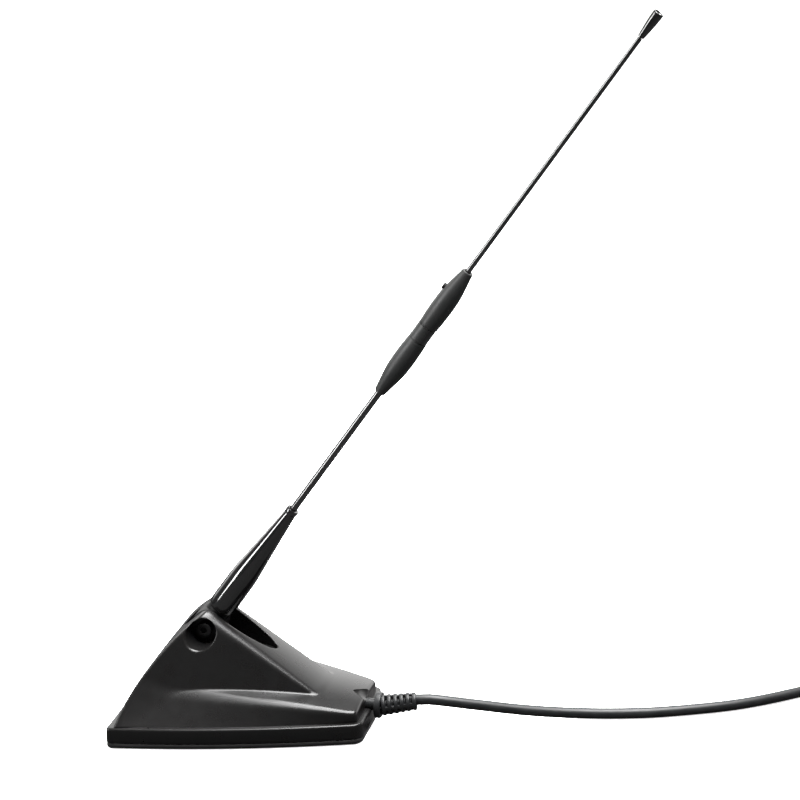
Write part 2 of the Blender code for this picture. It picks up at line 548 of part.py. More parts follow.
def build_lead(base, nut, jacket, brass, zinc, white):
    """The boot, the lead, its coil, and the plug with its turning nut."""
    yawed = Vector((math.cos(GLAND_YAW) * math.cos(GLAND_RISE), math.sin(GLAND_YAW) * math.cos(GLAND_RISE),
                    math.sin(GLAND_RISE)))
    straight = Vector((1, 0, 0))
    boot = bmesh.new()
    rings = []
    for along, radius in ((-10.5, 3.2), (-8.6, 3.2), (-8.6, 2.7), (0.4, 2.7), (0.4, 5.6), (0.9, 6.0),
                          (3.9, 6.0), (4.4, 5.6)):
        rings.append(ring_around(GLAND + straight * along * MM, straight, radius * MM, 24))
    root, ribs = GLAND + straight * 4.4 * MM, 6
    for i in range(ribs):
        near, outer = BOOT_LENGTH * i / ribs, (4.9 - 0.85 * i / (ribs - 1)) * MM
        for along, radius in ((near + 0.3 * MM, outer - 1.0 * MM), (near + 1.1 * MM, outer - 1.0 * MM),
                              (near + 1.2 * MM, outer), (near + 2.7 * MM, outer)):
            rings.append(ring_around(root + yawed * along, yawed, radius, 24))
    add_rings(boot, rings)
    place("cable_boot", boot, jacket, base)
    inner = [(NOSE_X + x * MM, y * MM, z * MM) for x, y, z in
             ((97.5, 0, 11.6), (94, 0.4, 11.7), (90, 1.2, 12.8), (86.5, 1.8, 15.0), (84.0, 2.0, 16.8))]
    tube("lead_inner", inner, 1.5 * MM, white, base)
    tube("cable_run", smooth_line(RUN_POINTS, 10 * MM), LEAD_RADIUS, jacket, base)
    ring = [(0.1 * MM, COIL_INSIDE), (0.1 * MM, COIL_OUTSIDE), (COIL_HEIGHT, COIL_OUTSIDE), (COIL_HEIGHT, COIL_INSIDE)]
    place("cable_coil", turned(ring, UP, COIL_CENTRE, hollow=True, segments=40), jacket, base)
    tube("cable_tail", smooth_line(TAIL_POINTS, 10 * MM), LEAD_RADIUS, jacket, base)
    rear = Vector(TAIL_POINTS[-1])
    axis = PLUG_DIRECTION
    crimp = [(0.3, 3.4), (9.7, 3.4)]
    body = [(10.0, 4.2), (12.0, 5.6), (17.0, 5.6), (17.0, 4.3), (24.0, 4.3), (24.0, 3.5), (18.0, 3.5), (18.0, 2.0),
            (14.0, 2.0), (14.0, 1.2), (11.0, 1.2), (10.0, 1.2)]
    coupling = [(17.3, 4.65), (17.3, 6.6), (18.0, 7.3), (29.0, 7.3), (30.0, 6.6), (30.0, 5.4), (24.5, 5.4),
                (24.5, 4.65)]
    insulator = [(18.4, 0.95), (18.4, 3.15), (23.6, 3.15), (23.6, 0.95)]
    pin = [(14.6, 0.6), (25.0, 0.6), (26.4, 0.25)]
    place("plug_crimp", turned(in_mm(crimp), axis, rear, segments=20), zinc, base)
    place("plug_body", turned(in_mm(body), axis, rear, hollow=True, segments=24), zinc, base)
    place("plug_insulator", turned(in_mm(insulator), axis, rear, hollow=True, segments=20), white, base)
    place("plug_pin", turned(in_mm(pin), axis, rear, segments=12), brass, base)
    place("plug_nut", turned(in_mm(coupling), axis, hollow=True, segments=24), zinc, nut)


def main():
    """Builds the antenna."""
    clear_scene()
    plastic = finish("satin_black_plastic", BLACK_PLASTIC, 0.45, 0.0)
    gloss = finish("gloss_black_lacquer", (0.01, 0.01, 0.011, 1), 0.12, 0.0)
    rubber = finish("charcoal_rubber", (0.035, 0.035, 0.037, 1), 0.7, 0.0)
    rod = finish("black_chromed_steel", (0.02, 0.02, 0.02, 1), 0.25, 0.6)
    steel = finish("plated_steel", (0.45, 0.45, 0.46, 1), 0.35, 1.0)
    zinc = finish("zinc_nickel", (0.6, 0.6, 0.6, 1), 0.3, 1.0)
    magnet = finish("nickel_magnet", (0.5, 0.5, 0.48, 1), 0.25, 1.0)
    brass = finish("brass", (0.7, 0.5, 0.2, 1), 0.3, 1.0)
    copper = finish("copper", (0.75, 0.35, 0.2, 1), 0.3, 1.0)
    green = finish("board_laminate", (0.02, 0.15, 0.06, 1), 0.5, 0.0)
    white = finish("white_dielectric", (0.75, 0.75, 0.72, 1), 0.5, 0.0)
    base = empty("base_origin", (0, 0, 0))
    whip = empty("whip_hinge", HINGE)
    tip = empty("upper_rod_slide", (0, 0, 0), whip)
    nut = empty("plug_nut_axis", TAIL_POINTS[-1], base)
    build_housing(plastic, base)
    build_underside(base, rubber, steel, magnet, zinc)
    build_electronics(base, green, brass, zinc)
    build_hinge(base, whip, steel, zinc)
    build_whip(whip, tip, gloss, rubber, rod, copper, white, zinc)
    build_lead(base, nut, rubber, brass, zinc, white)


if __name__ == "__main__":
    main()
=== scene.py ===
"""The looks of a folding whip antenna on a wedge-shaped vehicle base, with its lead and plug.

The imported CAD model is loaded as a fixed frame, and every piece made here rides on one of its
bodies. Sizes are written in millimetres, and lengths along the base are counted from its nose.
"""

from __future__ import annotations

import json
import logging
import math
from dataclasses import dataclass, field
from enum import Enum
from typing import Sequence

import bmesh
import bpy
import numpy as np
from mathutils import Matrix, Vector

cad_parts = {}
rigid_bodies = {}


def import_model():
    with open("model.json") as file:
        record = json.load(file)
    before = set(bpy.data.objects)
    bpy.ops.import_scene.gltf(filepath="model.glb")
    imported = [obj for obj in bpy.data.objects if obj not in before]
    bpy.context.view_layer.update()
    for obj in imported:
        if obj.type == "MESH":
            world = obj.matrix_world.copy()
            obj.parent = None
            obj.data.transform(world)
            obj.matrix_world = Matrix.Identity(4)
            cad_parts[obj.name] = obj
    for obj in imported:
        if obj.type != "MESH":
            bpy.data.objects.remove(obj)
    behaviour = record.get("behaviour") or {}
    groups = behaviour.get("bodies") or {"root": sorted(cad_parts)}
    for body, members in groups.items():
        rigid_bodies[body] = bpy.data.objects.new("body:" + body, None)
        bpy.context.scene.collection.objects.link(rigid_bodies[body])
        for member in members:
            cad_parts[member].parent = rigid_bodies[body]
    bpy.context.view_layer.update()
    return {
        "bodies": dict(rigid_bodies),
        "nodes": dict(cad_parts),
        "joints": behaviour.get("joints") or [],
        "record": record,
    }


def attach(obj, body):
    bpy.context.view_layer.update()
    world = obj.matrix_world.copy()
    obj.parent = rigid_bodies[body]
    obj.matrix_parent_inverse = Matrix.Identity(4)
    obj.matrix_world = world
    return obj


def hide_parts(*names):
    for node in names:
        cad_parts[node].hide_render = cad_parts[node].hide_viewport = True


LOG = logging.getLogger("whip_antenna")

MM = 0.001
BASE_LENGTH = 109.4  # mm, from station zero to the tail
NOSE_X = -54.2  # mm, station zero: where the fin starts
HINGE_ALONG = 33.6  # mm from the nose
HINGE_HEIGHT = 44.8  # mm
HINGE = Vector((NOSE_X + HINGE_ALONG, 0.0, HINGE_HEIGHT)) * MM
LEAD_HEIGHT = 11.3  # mm, where the lead leaves the housing
WHIP_ELEVATION = math.radians(55.8)
WHIP_AXIS = Vector((math.cos(WHIP_ELEVATION), 0.0, math.sin(WHIP_ELEVATION)))
WHIP_UNDERSIDE = Vector((math.sin(WHIP_ELEVATION), 0.0, -math.cos(WHIP_ELEVATION)))
ACROSS = Vector((0.0, 1.0, 0.0))
UP = Vector((0.0, 0.0, 1.0))
ALONG = Vector((1.0, 0.0, 0.0))

Colour = tuple[float, float, float]
Profile = list[tuple[float, float]]
Span = tuple[float, float]
Place = tuple[float, float, float]
Piece = bpy.types.Object
Tree = bpy.types.NodeTree
Socket = bpy.types.NodeSocket


# Finishes


class Texture(Enum):
    """How the fine texture of a finish runs."""

    PEBBLE = "even moulded grain"
    DRAWN = "streaks along the piece"
    TURNED = "fine rings from the lathe"
    POLISHED = "faint orange peel"


EVEN = (1, 1, 1)
STRETCH = {Texture.DRAWN: (1, 1, 0.06), Texture.TURNED: (0.05, 0.05, 1)}


def add_node(tree: Tree, kind: str, **values: float | Sequence[float]) -> bpy.types.Node:
    """Adds a shader node and sets some of its inputs.

    Args:
        tree: The node tree.
        kind: The node's type, without its prefix.
        values: Values by input, with underscores for the spaces in an input's name.

    Returns:
        The node.
    """
    node = tree.nodes.new(f"ShaderNode{kind}")
    for name, value in values.items():
        node.inputs[name.replace("_", " ")].default_value = value
    return node


@dataclass(frozen=True)
class Finish:
    """One finish of the antenna, made as a procedural material.

    Args:
        name: The material's name.
        slot: The record's material slot that it belongs to; not used.
        dark: The darker colour of its mottle.
        light: The lighter colour of its mottle.
        rough: The lowest and the highest roughness.
        texture: How its fine texture runs.
        grain: Size of the fine texture, in mm.
        relief: Height of the fine texture, in mm.
        metallic: 1 for bare metal.
        specular: Specular level of a plastic or a lacquer.
        coat: Weight of a clear coat.
        mottle: Size of the colour's mottle, in mm.
    """

    name: str
    slot: str
    dark: Colour
    light: Colour
    rough: Span
    texture: Texture = Texture.PEBBLE
    grain: float = 0.35
    relief: float = 0.02
    metallic: float = 0.0
    specular: float = 0.5
    coat: float = 0.0
    mottle: float = 6.0

    def material(self) -> bpy.types.Material:
        """Gives the material, made once.

        Returns:
            The node material of this finish.
        """
        known = bpy.data.materials.get(self.name)
        if known is not None:
            return known
        material = bpy.data.materials.new(self.name)
        material.use_nodes = True
        tree = material.node_tree
        shader = tree.nodes["Principled BSDF"]
        for name, value in (("Metallic", self.metallic), ("Specular IOR Level", self.specular),
                            ("Coat Weight", self.coat), ("Coat Roughness", 0.06)):
            shader.inputs[name].default_value = value
        place = add_node(tree, "TexCoord").outputs["Object"]
        mottle = self.noise(tree, place, 1 / (self.mottle * MM), 5.0, EVEN)
        colours = add_node(tree, "ValToRGB")
        stops = zip(colours.color_ramp.elements, (0.35, 0.68), (self.dark, self.light))
        for element, position, colour in stops:
            element.position = position
            element.color = (*colour, 1)
        tree.links.new(mottle, colours.inputs["Fac"])
        tree.links.new(colours.outputs["Color"], shader.inputs["Base Color"])
        fine = self.noise(tree, place, 1 / (self.grain * MM), 3.0, STRETCH.get(self.texture, EVEN))
        spread = add_node(tree, "MapRange", From_Min=0.3, From_Max=0.7, To_Min=self.rough[0],
                          To_Max=self.rough[1])
        tree.links.new(mottle, spread.inputs["Value"])
        tree.links.new(spread.outputs["Result"], shader.inputs["Roughness"])
        bump = add_node(tree, "Bump", Strength=0.6, Distance=self.relief * MM)
        tree.links.new(fine, bump.inputs["Height"])
        tree.links.new(bump.outputs["Normal"], shader.inputs["Normal"])
        return material

    def noise(self, tree: Tree, place: Socket, scale: float, detail: float,
              stretch: Place) -> Socket:
        """Adds a noise texture in the object's own coordinates.

        Args:
            tree: The material's node tree.
            place: The coordinates.
            scale: Waves for each metre.
            detail: Octaves.
            stretch: Factors along X, Y and Z of the piece.

        Returns:
            The noise's value.
        """
        mapping = add_node(tree, "Mapping", Scale=stretch)
        if stretch != EVEN:
            mapping.inputs["Rotation"].default_value = (0.0, WHIP_ELEVATION - math.pi / 2, 0.0)
        node = add_node(tree, "TexNoise", Scale=scale, Detail=detail)
        tree.links.new(place, mapping.inputs["Vector"])
        tree.links.new(mapping.outputs["Vector"], node.inputs["Vector"])
        return node.outputs["Fac"]


HOUSING_PLASTIC = Finish("satin black housing plastic", "satin_black_plastic", (0.0048, 0.0046, 0.0046),
                         (0.0055, 0.0053, 0.0053), (0.27, 0.29), grain=0.30, relief=0.006, specular=0.22)
FOOT_RUBBER = Finish("black foot rubber", "black_rubber", (0.010, 0.010, 0.010), (0.015, 0.015, 0.015),
                     (0.52, 0.62), grain=0.45, relief=0.02, specular=0.35)
PLATED_STEEL = Finish("zinc plated steel", "plated_steel", (0.40, 0.40, 0.39), (0.55, 0.55, 0.54),
                      (0.28, 0.42), texture=Texture.DRAWN, metallic=1.0, relief=0.004)
MAGNET_NICKEL = Finish("nickel plated magnet", "nickel_magnet", (0.50, 0.49, 0.46), (0.62, 0.61, 0.58),
                       (0.18, 0.30), metallic=1.0, relief=0.003)
ZINC_NICKEL = Finish("zinc nickel hardware", "zinc_nickel", (0.42, 0.42, 0.41), (0.58, 0.57, 0.55),
                     (0.25, 0.38), metallic=1.0, relief=0.003)
BOARD_LAMINATE = Finish("green board laminate", "board_laminate", (0.010, 0.085, 0.035),
                        (0.016, 0.130, 0.055), (0.35, 0.45), texture=Texture.DRAWN, relief=0.01)
BRASS = Finish("spring brass", "brass", (0.60, 0.42, 0.16), (0.74, 0.55, 0.24), (0.22, 0.35),
               texture=Texture.DRAWN, metallic=1.0, relief=0.004)
BLACK_OXIDE = Finish("black oxide steel", "black_oxide_steel", (0.004, 0.004, 0.004),
                     (0.008, 0.008, 0.008), (0.42, 0.52), relief=0.004, specular=0.10)
FERRULE_LACQUER = Finish("gloss black lacquer", "gloss_black_lacquer", (0.0045, 0.0047, 0.0048),
                         (0.0065, 0.0066, 0.0066), (0.07, 0.12), texture=Texture.POLISHED, grain=0.8,
                         relief=0.0015, specular=0.55, coat=0.4)
ROD_BLACK = Finish("black plated rod", "black_rod", (0.006, 0.006, 0.006), (0.010, 0.010, 0.010),
                   (0.16, 0.26), texture=Texture.DRAWN, grain=0.25, relief=0.004, specular=0.8, coat=0.6)
COIL_CHARCOAL = Finish("matte charcoal moulding", "charcoal_sleeve", (0.016, 0.017, 0.017),
                       (0.019, 0.019, 0.019), (0.42, 0.50), grain=0.22, relief=0.02, specular=0.30)
WINDOW_GLOSS = Finish("gloss black coil band", "gloss_black_plastic", (0.004, 0.004, 0.005),
                      (0.006, 0.006, 0.007), (0.06, 0.10), texture=Texture.POLISHED, grain=1.0,
                      relief=0.001, specular=0.55)
DIELECTRIC = Finish("white dielectric", "white_dielectric", (0.70, 0.69, 0.66), (0.78, 0.77, 0.74),
                    (0.40, 0.50), relief=0.005)
COPPER = Finish("enamelled copper wire", "copper_wire", (0.62, 0.25, 0.12), (0.78, 0.36, 0.19),
                (0.22, 0.32), metallic=1.0, relief=0.003)
CABLE_JACKET = Finish("cable jacket", "cable_jacket", (0.007, 0.0075, 0.008), (0.011, 0.0115, 0.012),
                      (0.38, 0.46), grain=0.5, relief=0.02, specular=0.28)
PLUG_NICKEL = Finish("nickel plated plug", "nickel_plug", (0.56, 0.55, 0.52), (0.70, 0.69, 0.66),
                     (0.16, 0.28), metallic=1.0, relief=0.003)


# The bench: everything that shapes a mesh


class Bench:
    """Modelling moves that all pieces share."""

    @staticmethod
    def clear() -> None:
        """Leaves nothing selected and nothing in edit mode."""
        if bpy.context.object is not None and bpy.context.object.mode != "OBJECT":
            bpy.ops.object.mode_set(mode="OBJECT")
        bpy.ops.object.select_all(action="DESELECT")

    @classmethod
    def take(cls, obj: Piece) -> None:
        """Selects one object alone and makes it the active one."""
        cls.clear()
        obj.select_set(True)
        bpy.context.view_layer.objects.active = obj

    @classmethod
    def named(cls, name: str) -> Piece:
        """Names the object that was just added.

        Args:
            name: The name of the object and of its mesh.

        Returns:
            The active object.
        """
        obj = bpy.context.active_object
        obj.name = name
        obj.data.name = name
        return obj

    @classmethod
    def smooth(cls, obj: Piece, degrees: float) -> None:
        """Shades a piece smooth, but for edges that turn more than the angle."""
        cls.take(obj)
        bpy.ops.object.shade_smooth_by_angle(angle=math.radians(degrees))

    @classmethod
    def apply(cls, obj: Piece) -> None:
        """Applies all modifiers of a piece, in their order."""
        cls.take(obj)
        for modifier in list(obj.modifiers):
            bpy.ops.object.modifier_apply(modifier=modifier.name)

    @classmethod
    def combine(cls, obj: Piece, tool: Piece, operation: str) -> None:
        """Joins a tool to a piece or cuts it away, and removes the tool.

        Args:
            obj: The piece.
            tool: The other solid.
            operation: UNION or DIFFERENCE.
        """
        modifier = obj.modifiers.new(operation.title(), "BOOLEAN")
        modifier.operation = operation
        modifier.solver = "EXACT"
        modifier.object = tool
        cls.apply(obj)
        bpy.data.objects.remove(tool, do_unlink=True)

    @classmethod
    def bevel(cls, obj: Piece, width: float, segments: int = 3, degrees: float = 30.0) -> None:
        """Rounds every edge that turns more than an angle.

        Args:
            obj: The piece.
            width: Width of the rounding, in mm.
            segments: Steps of the rounding.
            degrees: The angle.
        """
        modifier = obj.modifiers.new("Rounding", "BEVEL")
        modifier.width = width * MM
        modifier.segments = segments
        modifier.limit_method = "ANGLE"
        modifier.angle_limit = math.radians(degrees)
        cls.apply(obj)

    @classmethod
    def loft(cls, name: str, rings: Sequence[Sequence[Vector]], capped: bool = True) -> Piece:
        """Extrudes a ring of points through a row of rings.

        Args:
            name: The piece's name.
            rings: Rings of equally many points, in metres.
            capped: Whether the first and the last ring are filled.

        Returns:
            The lofted piece.
        """
        cls.clear()
        count = len(rings[0])
        fill = "NGON" if capped else "NOTHING"
        bpy.ops.mesh.primitive_circle_add(vertices=count, radius=1.0, fill_type=fill)
        obj = cls.named(name)
        bpy.ops.object.mode_set(mode="EDIT")
        bpy.ops.mesh.select_all(action="SELECT")
        mesh = bmesh.from_edit_mesh(obj.data)
        for vertex, point in zip(mesh.verts, rings[0]):
            vertex.co = point
        last = list(mesh.verts)
        for ring in rings[1:]:
            made = bmesh.ops.extrude_edge_only(mesh, edges=cls.ring_edges(last))
            fresh = {v for v in made["geom"] if isinstance(v, bmesh.types.BMVert)}
            order = []
            for vertex in last:
                others = (edge.other_vert(vertex) for edge in vertex.link_edges)
                order.append(next(other for other in others if other in fresh))
            for vertex, point in zip(order, ring):
                vertex.co = point
            last = order
        if capped:
            mesh.faces.new(last)
        bmesh.update_edit_mesh(obj.data)
        bpy.ops.mesh.select_all(action="SELECT")
        bpy.ops.mesh.normals_make_consistent(inside=False)
        bpy.ops.object.mode_set(mode="OBJECT")
        return obj

    @staticmethod
    def ring_edges(ring: Sequence[bmesh.types.BMVert]) -> list[bmesh.types.BMEdge]:
        """Gives the edges between neighbours in a closed ring of points."""
        edges = []
        for a, b in zip(ring, [*ring[1:], ring[0]]):
            edges.append(next(e for e in a.link_edges if e.other_vert(a) is b))
        return edges

    @classmethod
    def lathe(cls, name: str, profile: Profile, axis: Vector = UP, origin: Vector = Vector((0, 0, 0)),
              steps: int = 64, sweep: float = 360.0, facing: Vector | None = None) -> Piece:
        """Spins a closed profile about an axis, as on a lathe.

        Args:
            name: The piece's name.
            profile: (distance along the axis, radius) in mm, a closed outline.
            axis: The axis, a unit vector.
            origin: Where distance 0 is, in metres.
            steps: Steps of the spin.
            sweep: Degrees of the spin; less than 360 leaves a slice.
            facing: The middle of the slice, or where the spin starts.

        Returns:
            The turned piece.
        """
        cls.clear()
        bpy.ops.mesh.primitive_plane_add(size=0.001)
        obj = cls.named(name)
        bpy.ops.object.mode_set(mode="EDIT")
        bpy.ops.mesh.select_all(action="SELECT")
        bpy.ops.mesh.merge(type="CENTER")
        mesh = bmesh.from_edit_mesh(obj.data)
        mesh.verts.ensure_lookup_table()
        before = profile[0]
        mesh.verts[0].co = (before[1] * MM, 0, before[0] * MM)
        mesh.verts[0].select_set(True)
        bmesh.update_edit_mesh(obj.data)
        for point in profile[1:]:
            step = ((point[1] - before[1]) * MM, 0, (point[0] - before[0]) * MM)
            bpy.ops.mesh.extrude_region_move(TRANSFORM_OT_translate={"value": step})
            before = point
        if profile[0][1] != 0 or profile[-1][1] != 0:
            mesh = bmesh.from_edit_mesh(obj.data)
            mesh.verts.ensure_lookup_table()
            loose = [v for v in mesh.verts if len(v.link_edges) == 1]
            mesh.edges.new(loose)
            bmesh.update_edit_mesh(obj.data)
        bpy.ops.mesh.select_all(action="SELECT")
        if sweep < 360.0:
            bpy.ops.mesh.edge_face_add()
            mesh = bmesh.from_edit_mesh(obj.data)
            half_back = Matrix.Rotation(-math.radians(sweep) / 2, 3, "Z")
            bmesh.ops.rotate(mesh, verts=mesh.verts, cent=(0, 0, 0), matrix=half_back)
            bmesh.update_edit_mesh(obj.data)
        bpy.ops.mesh.spin(steps=steps, angle=math.radians(sweep), center=(0, 0, 0), axis=(0, 0, 1))
        bpy.ops.mesh.select_all(action="SELECT")
        bpy.ops.mesh.remove_doubles(threshold=0.0004 * MM)
        bpy.ops.mesh.normals_make_consistent(inside=False)
        bpy.ops.object.mode_set(mode="OBJECT")
        turned = UP.rotation_difference(axis).to_matrix()
        if facing is not None:
            flat = turned.inverted() @ facing
            turned = turned @ Matrix.Rotation(math.atan2(flat.y, flat.x), 3, "Z")
        obj.data.transform(Matrix.Translation(origin) @ turned.to_4x4())
        return obj

    @classmethod
    def rod(cls, name: str, reach: Span, radius: float, axis: Vector, origin: Vector,
            steps: int) -> Piece:
        """Adds a plain cylinder, or a prism where the steps are few, as a tool.

        Args:
            name: The tool's name.
            reach: Where it starts and ends along the axis, in mm.
            radius: Its radius, in mm.
            axis: Its axis, a unit vector.
            origin: Where distance 0 is, in metres.
            steps: Steps round it.

        Returns:
            The tool.
        """
        low, high = reach
        return cls.lathe(name, [(low, 0), (low, radius), (high, radius), (high, 0)], axis, origin, steps)

    @staticmethod
    def block(name: str, low: Sequence[float], high: Sequence[float]) -> Piece:
        """Adds a plain block from corner to corner, in mm, as a tool."""
        Bench.clear()
        bpy.ops.mesh.primitive_cube_add(size=1.0)
        obj = Bench.named(name)
        size = [b - a for a, b in zip(low, high)]
        middle = [(a + b) / 2 for a, b in zip(low, high)]
        scale = Matrix.Diagonal((*[s * MM for s in size], 1))
        obj.data.transform(Matrix.Translation(Vector(middle) * MM) @ scale)
        return obj


def eased(profile: Profile, rounds: dict[int, float], steps: int = 5) -> Profile:
    """Rounds chosen corners of a closed outline.

    Args:
        profile: The outline's corners.
        rounds: The radius for each corner's index, in mm.
        steps: Points along each rounding, less one.

    Returns:
        The outline with arcs in place of those corners.
    """
    points: Profile = []
    count = len(profile)
    for i, corner in enumerate(profile):
        if i not in rounds:
            points.append(corner)
            continue
        here = Vector(corner)
        back = Vector(profile[i - 1]) - here
        ahead = Vector(profile[(i + 1) % count]) - here
        reach = min(rounds[i], back.length * 0.48, ahead.length * 0.48)
        first, last = here + back.normalized() * reach, here + ahead.normalized() * reach
        for k in range(steps + 1):
            t = k / steps
            point = first * (1 - t) ** 2 + here * 2 * t * (1 - t) + last * t**2
            points.append((point.x, point.y))
    return points


def from_nose(along: float, side: float, height: float) -> Vector:
    """Turns millimetres from the nose, sideways and up into a place in the frame."""
    return Vector((NOSE_X + along, side, height)) * MM


def dress(obj: Piece, finish: Finish, body: str, *nodes: str, degrees: float = 30.0) -> Piece:
    """Shades a piece smooth, gives it its finish and its body, and hides the CAD nodes that it stands for.

    Args:
        obj: The piece.
        finish: Its finish.
        body: The body that it rides on.
        nodes: The CAD nodes that it replaces.
        degrees: Edges that turn more than this stay sharp.

    Returns:
        The same piece.
    """
    if obj.type == "MESH":
        Bench.smooth(obj, degrees)
    obj.data.materials.clear()
    obj.data.materials.append(finish.material())
    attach(obj, body)
    if nodes:
        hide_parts(*nodes)
    LOG.info("%s rides on %s and replaces %s", obj.name, body, ", ".join(nodes) or "nothing")
    return obj


# The base


@dataclass
class Housing:
    """The moulded wedge: a rim, a low body with two ridges, and a fin that holds the hinge."""

    nose_half: float = 50.55
    nose_corner: float = 2.6
    lip: float = 1.0
    tail_half: float = 19.5
    side_bow: float = 2.9
    corner: float = 4.0
    seam: float = 3.3
    rim_top: float = 10.3
    ledge: float = 2.8
    wall: float = 2.2
    crest: float = 54.3
    slope_top: float = 77.4
    slope_fall: float = 0.662
    slope_steep: float = 1.199
    crown: float = 1.2
    crown_span: float = 12.0
    nose_foot: float = 2.0
    nose_lean: float = 0.27
    nose_curve: float = 0.0081
    nose_sweep: float = 4.9
    nose_bow: float = 0.7
    fin_half: float = 50.1
    fin_taper: float = 0.331
    fin_lean: float = 0.5
    ridge_half: float = 35.35
    ridge_taper: float = 0.1546
    shelf_top: float = 22.3
    shelf_from: float = 45.0
    shelf_fall: float = 0.0403
    shelf_sag: float = 0.001023
    shelf_arch: float = 0.0045
    crest_ease: float = 3.0
    ridge_ease: float = 2.3
    nose_ease: float = 1.3
    tail_ease: float = 1.8
    slot_half: float = 7.6
    slot_floor: float = 33.0
    slot_span: Span = (21.0, 64.5)
    slot_cheeks: Span = (27.0, 41.0)
    pocket: float = 6.5
    pocket_floor: float = 9.4
    ray_height: float = 5.0
    columns: int = 76
    screws: tuple[Span, ...] = ((15, -33), (15, 33), (94, -12.5), (94, 12.5))

    def half_width(self, along: float | np.ndarray, inset: float = 0.0) -> float | np.ndarray:
        """Gives half the width of the rim at a distance from the nose, less an inset."""
        share = along / BASE_LENGTH
        straight = self.nose_half + (self.tail_half - self.nose_half) * share
        return straight + 4 * self.side_bow * share * (1 - share) - inset

    def outline(self, inset: float = 0.0, steps: int = 40) -> Profile:
        """Gives the plan of the base with its rounded corners.

        Args:
            inset: How far it is pulled in, in mm.
            steps: Points along a side.

        Returns:
            Points (from the nose, sideways) round the plan, in mm.
        """
        front, radius = (max(bend - inset, 0.8) for bend in (self.nose_corner, self.corner))
        near: Profile = []
        for i in range(9):
            turn = math.radians(90 * i / 8)
            along = inset - self.lip + front * (1 - math.cos(turn))
            near.append((along, self.half_width(along, inset) - front * (1 - math.sin(turn))))
        first, last = inset - self.lip + front, BASE_LENGTH - inset - radius
        for i in range(1, steps):
            along = first + (last - first) * i / steps
            near.append((along, self.half_width(along, inset)))
        for i in range(9):
            turn = math.radians(90 * i / 8)
            along = last + radius * math.sin(turn)
            near.append((along, self.half_width(along, inset) - radius * (1 - math.cos(turn))))
        return [(x, -y) for x, y in near] + [(x, y) for x, y in reversed(near)]

    @staticmethod
    def soft_max(a: np.ndarray, b: np.ndarray, ease: float | np.ndarray) -> np.ndarray:
        """Gives the greater of two fields with the edge between them eased.

        Args:
            a: One field.
            b: The other field.
            ease: How wide the easing is, in mm.

        Returns:
            The eased greater field.
        """
        share = np.maximum(ease - np.abs(a - b), 0.0) / ease
        return np.maximum(a, b) + share * share * ease * 0.25

    def fullness(self, x: np.ndarray, y: np.ndarray, z: np.ndarray, inset: float = 0.0) -> np.ndarray:
        """Says how far outside the body above the rim a point lies; inside it is negative.

        Args:
            x: From the nose, in mm.
            y: Sideways, in mm.
            z: Up, in mm.
            inset: How far the body is pulled in.

        Returns:
            The distance, about right near the surface.
        """
        away = np.abs(y)
        rise = z - self.rim_top
        curve = np.maximum(rise, 0.0)
        share = np.maximum(z, 0.0) / self.crest
        nose = self.nose_foot + self.nose_lean * rise + self.nose_curve * curve**2
        nose = nose + self.nose_sweep * share**3
        steep = np.sqrt(1 + (self.nose_lean + 2 * self.nose_curve * curve) ** 2)
        wide = self.fin_half - self.fin_taper * x - self.fin_lean * z
        bow = self.nose_bow * share
        reach = np.clip(away / np.maximum(wide, 2.0), 0.0, 1.0)
        front = (nose + bow * (1 - np.sqrt(1 - reach**2 * 0.98)) - x) / steep
        side = (away - wide) / math.sqrt(1 + self.fin_taper**2 + self.fin_lean**2)
        crowned = self.crown * (away / self.crown_span) ** 2
        slope = (z - (self.slope_top - self.slope_fall * x) + crowned) / self.slope_steep
        fade = np.clip((x - 30.0) / 52.0, 0.0, 1.0)
        fin = self.soft_max(side, slope, 3.6 - 2.2 * fade)
        fin = self.soft_max(fin, z - self.crest, self.crest_ease)
        behind = x - self.shelf_from
        top = self.shelf_top - self.shelf_fall * behind - self.shelf_sag * behind**2
        foot_y = self.half_width(x, self.ledge)
        ridge_y = np.minimum(self.ridge_half - self.ridge_taper * x, foot_y + 0.2)
        run, climb = ridge_y - foot_y, top - 0.7 - self.rim_top
        length = np.hypot(run, climb)
        band = ((away - foot_y) * climb - (z - self.rim_top) * run) / length
        band = np.maximum(band, away - foot_y)
        crease = np.maximum(self.fin_half - self.fin_taper * x - self.fin_lean * top, 6.0)
        arch = top + self.shelf_arch * (crease**2 - away**2)
        low = self.soft_max(band, z - arch, self.ridge_ease)
        blend = 0.7 + 9.0 * (1 - np.clip((x - 6.0) / 28.0, 0.0, 1.0)) ** 2
        body = -self.soft_max(-fin, -low, blend)
        body = self.soft_max(body, front, self.nose_ease)
        body = self.soft_max(body, x - (BASE_LENGTH - self.ledge), self.tail_ease)
        return body + inset

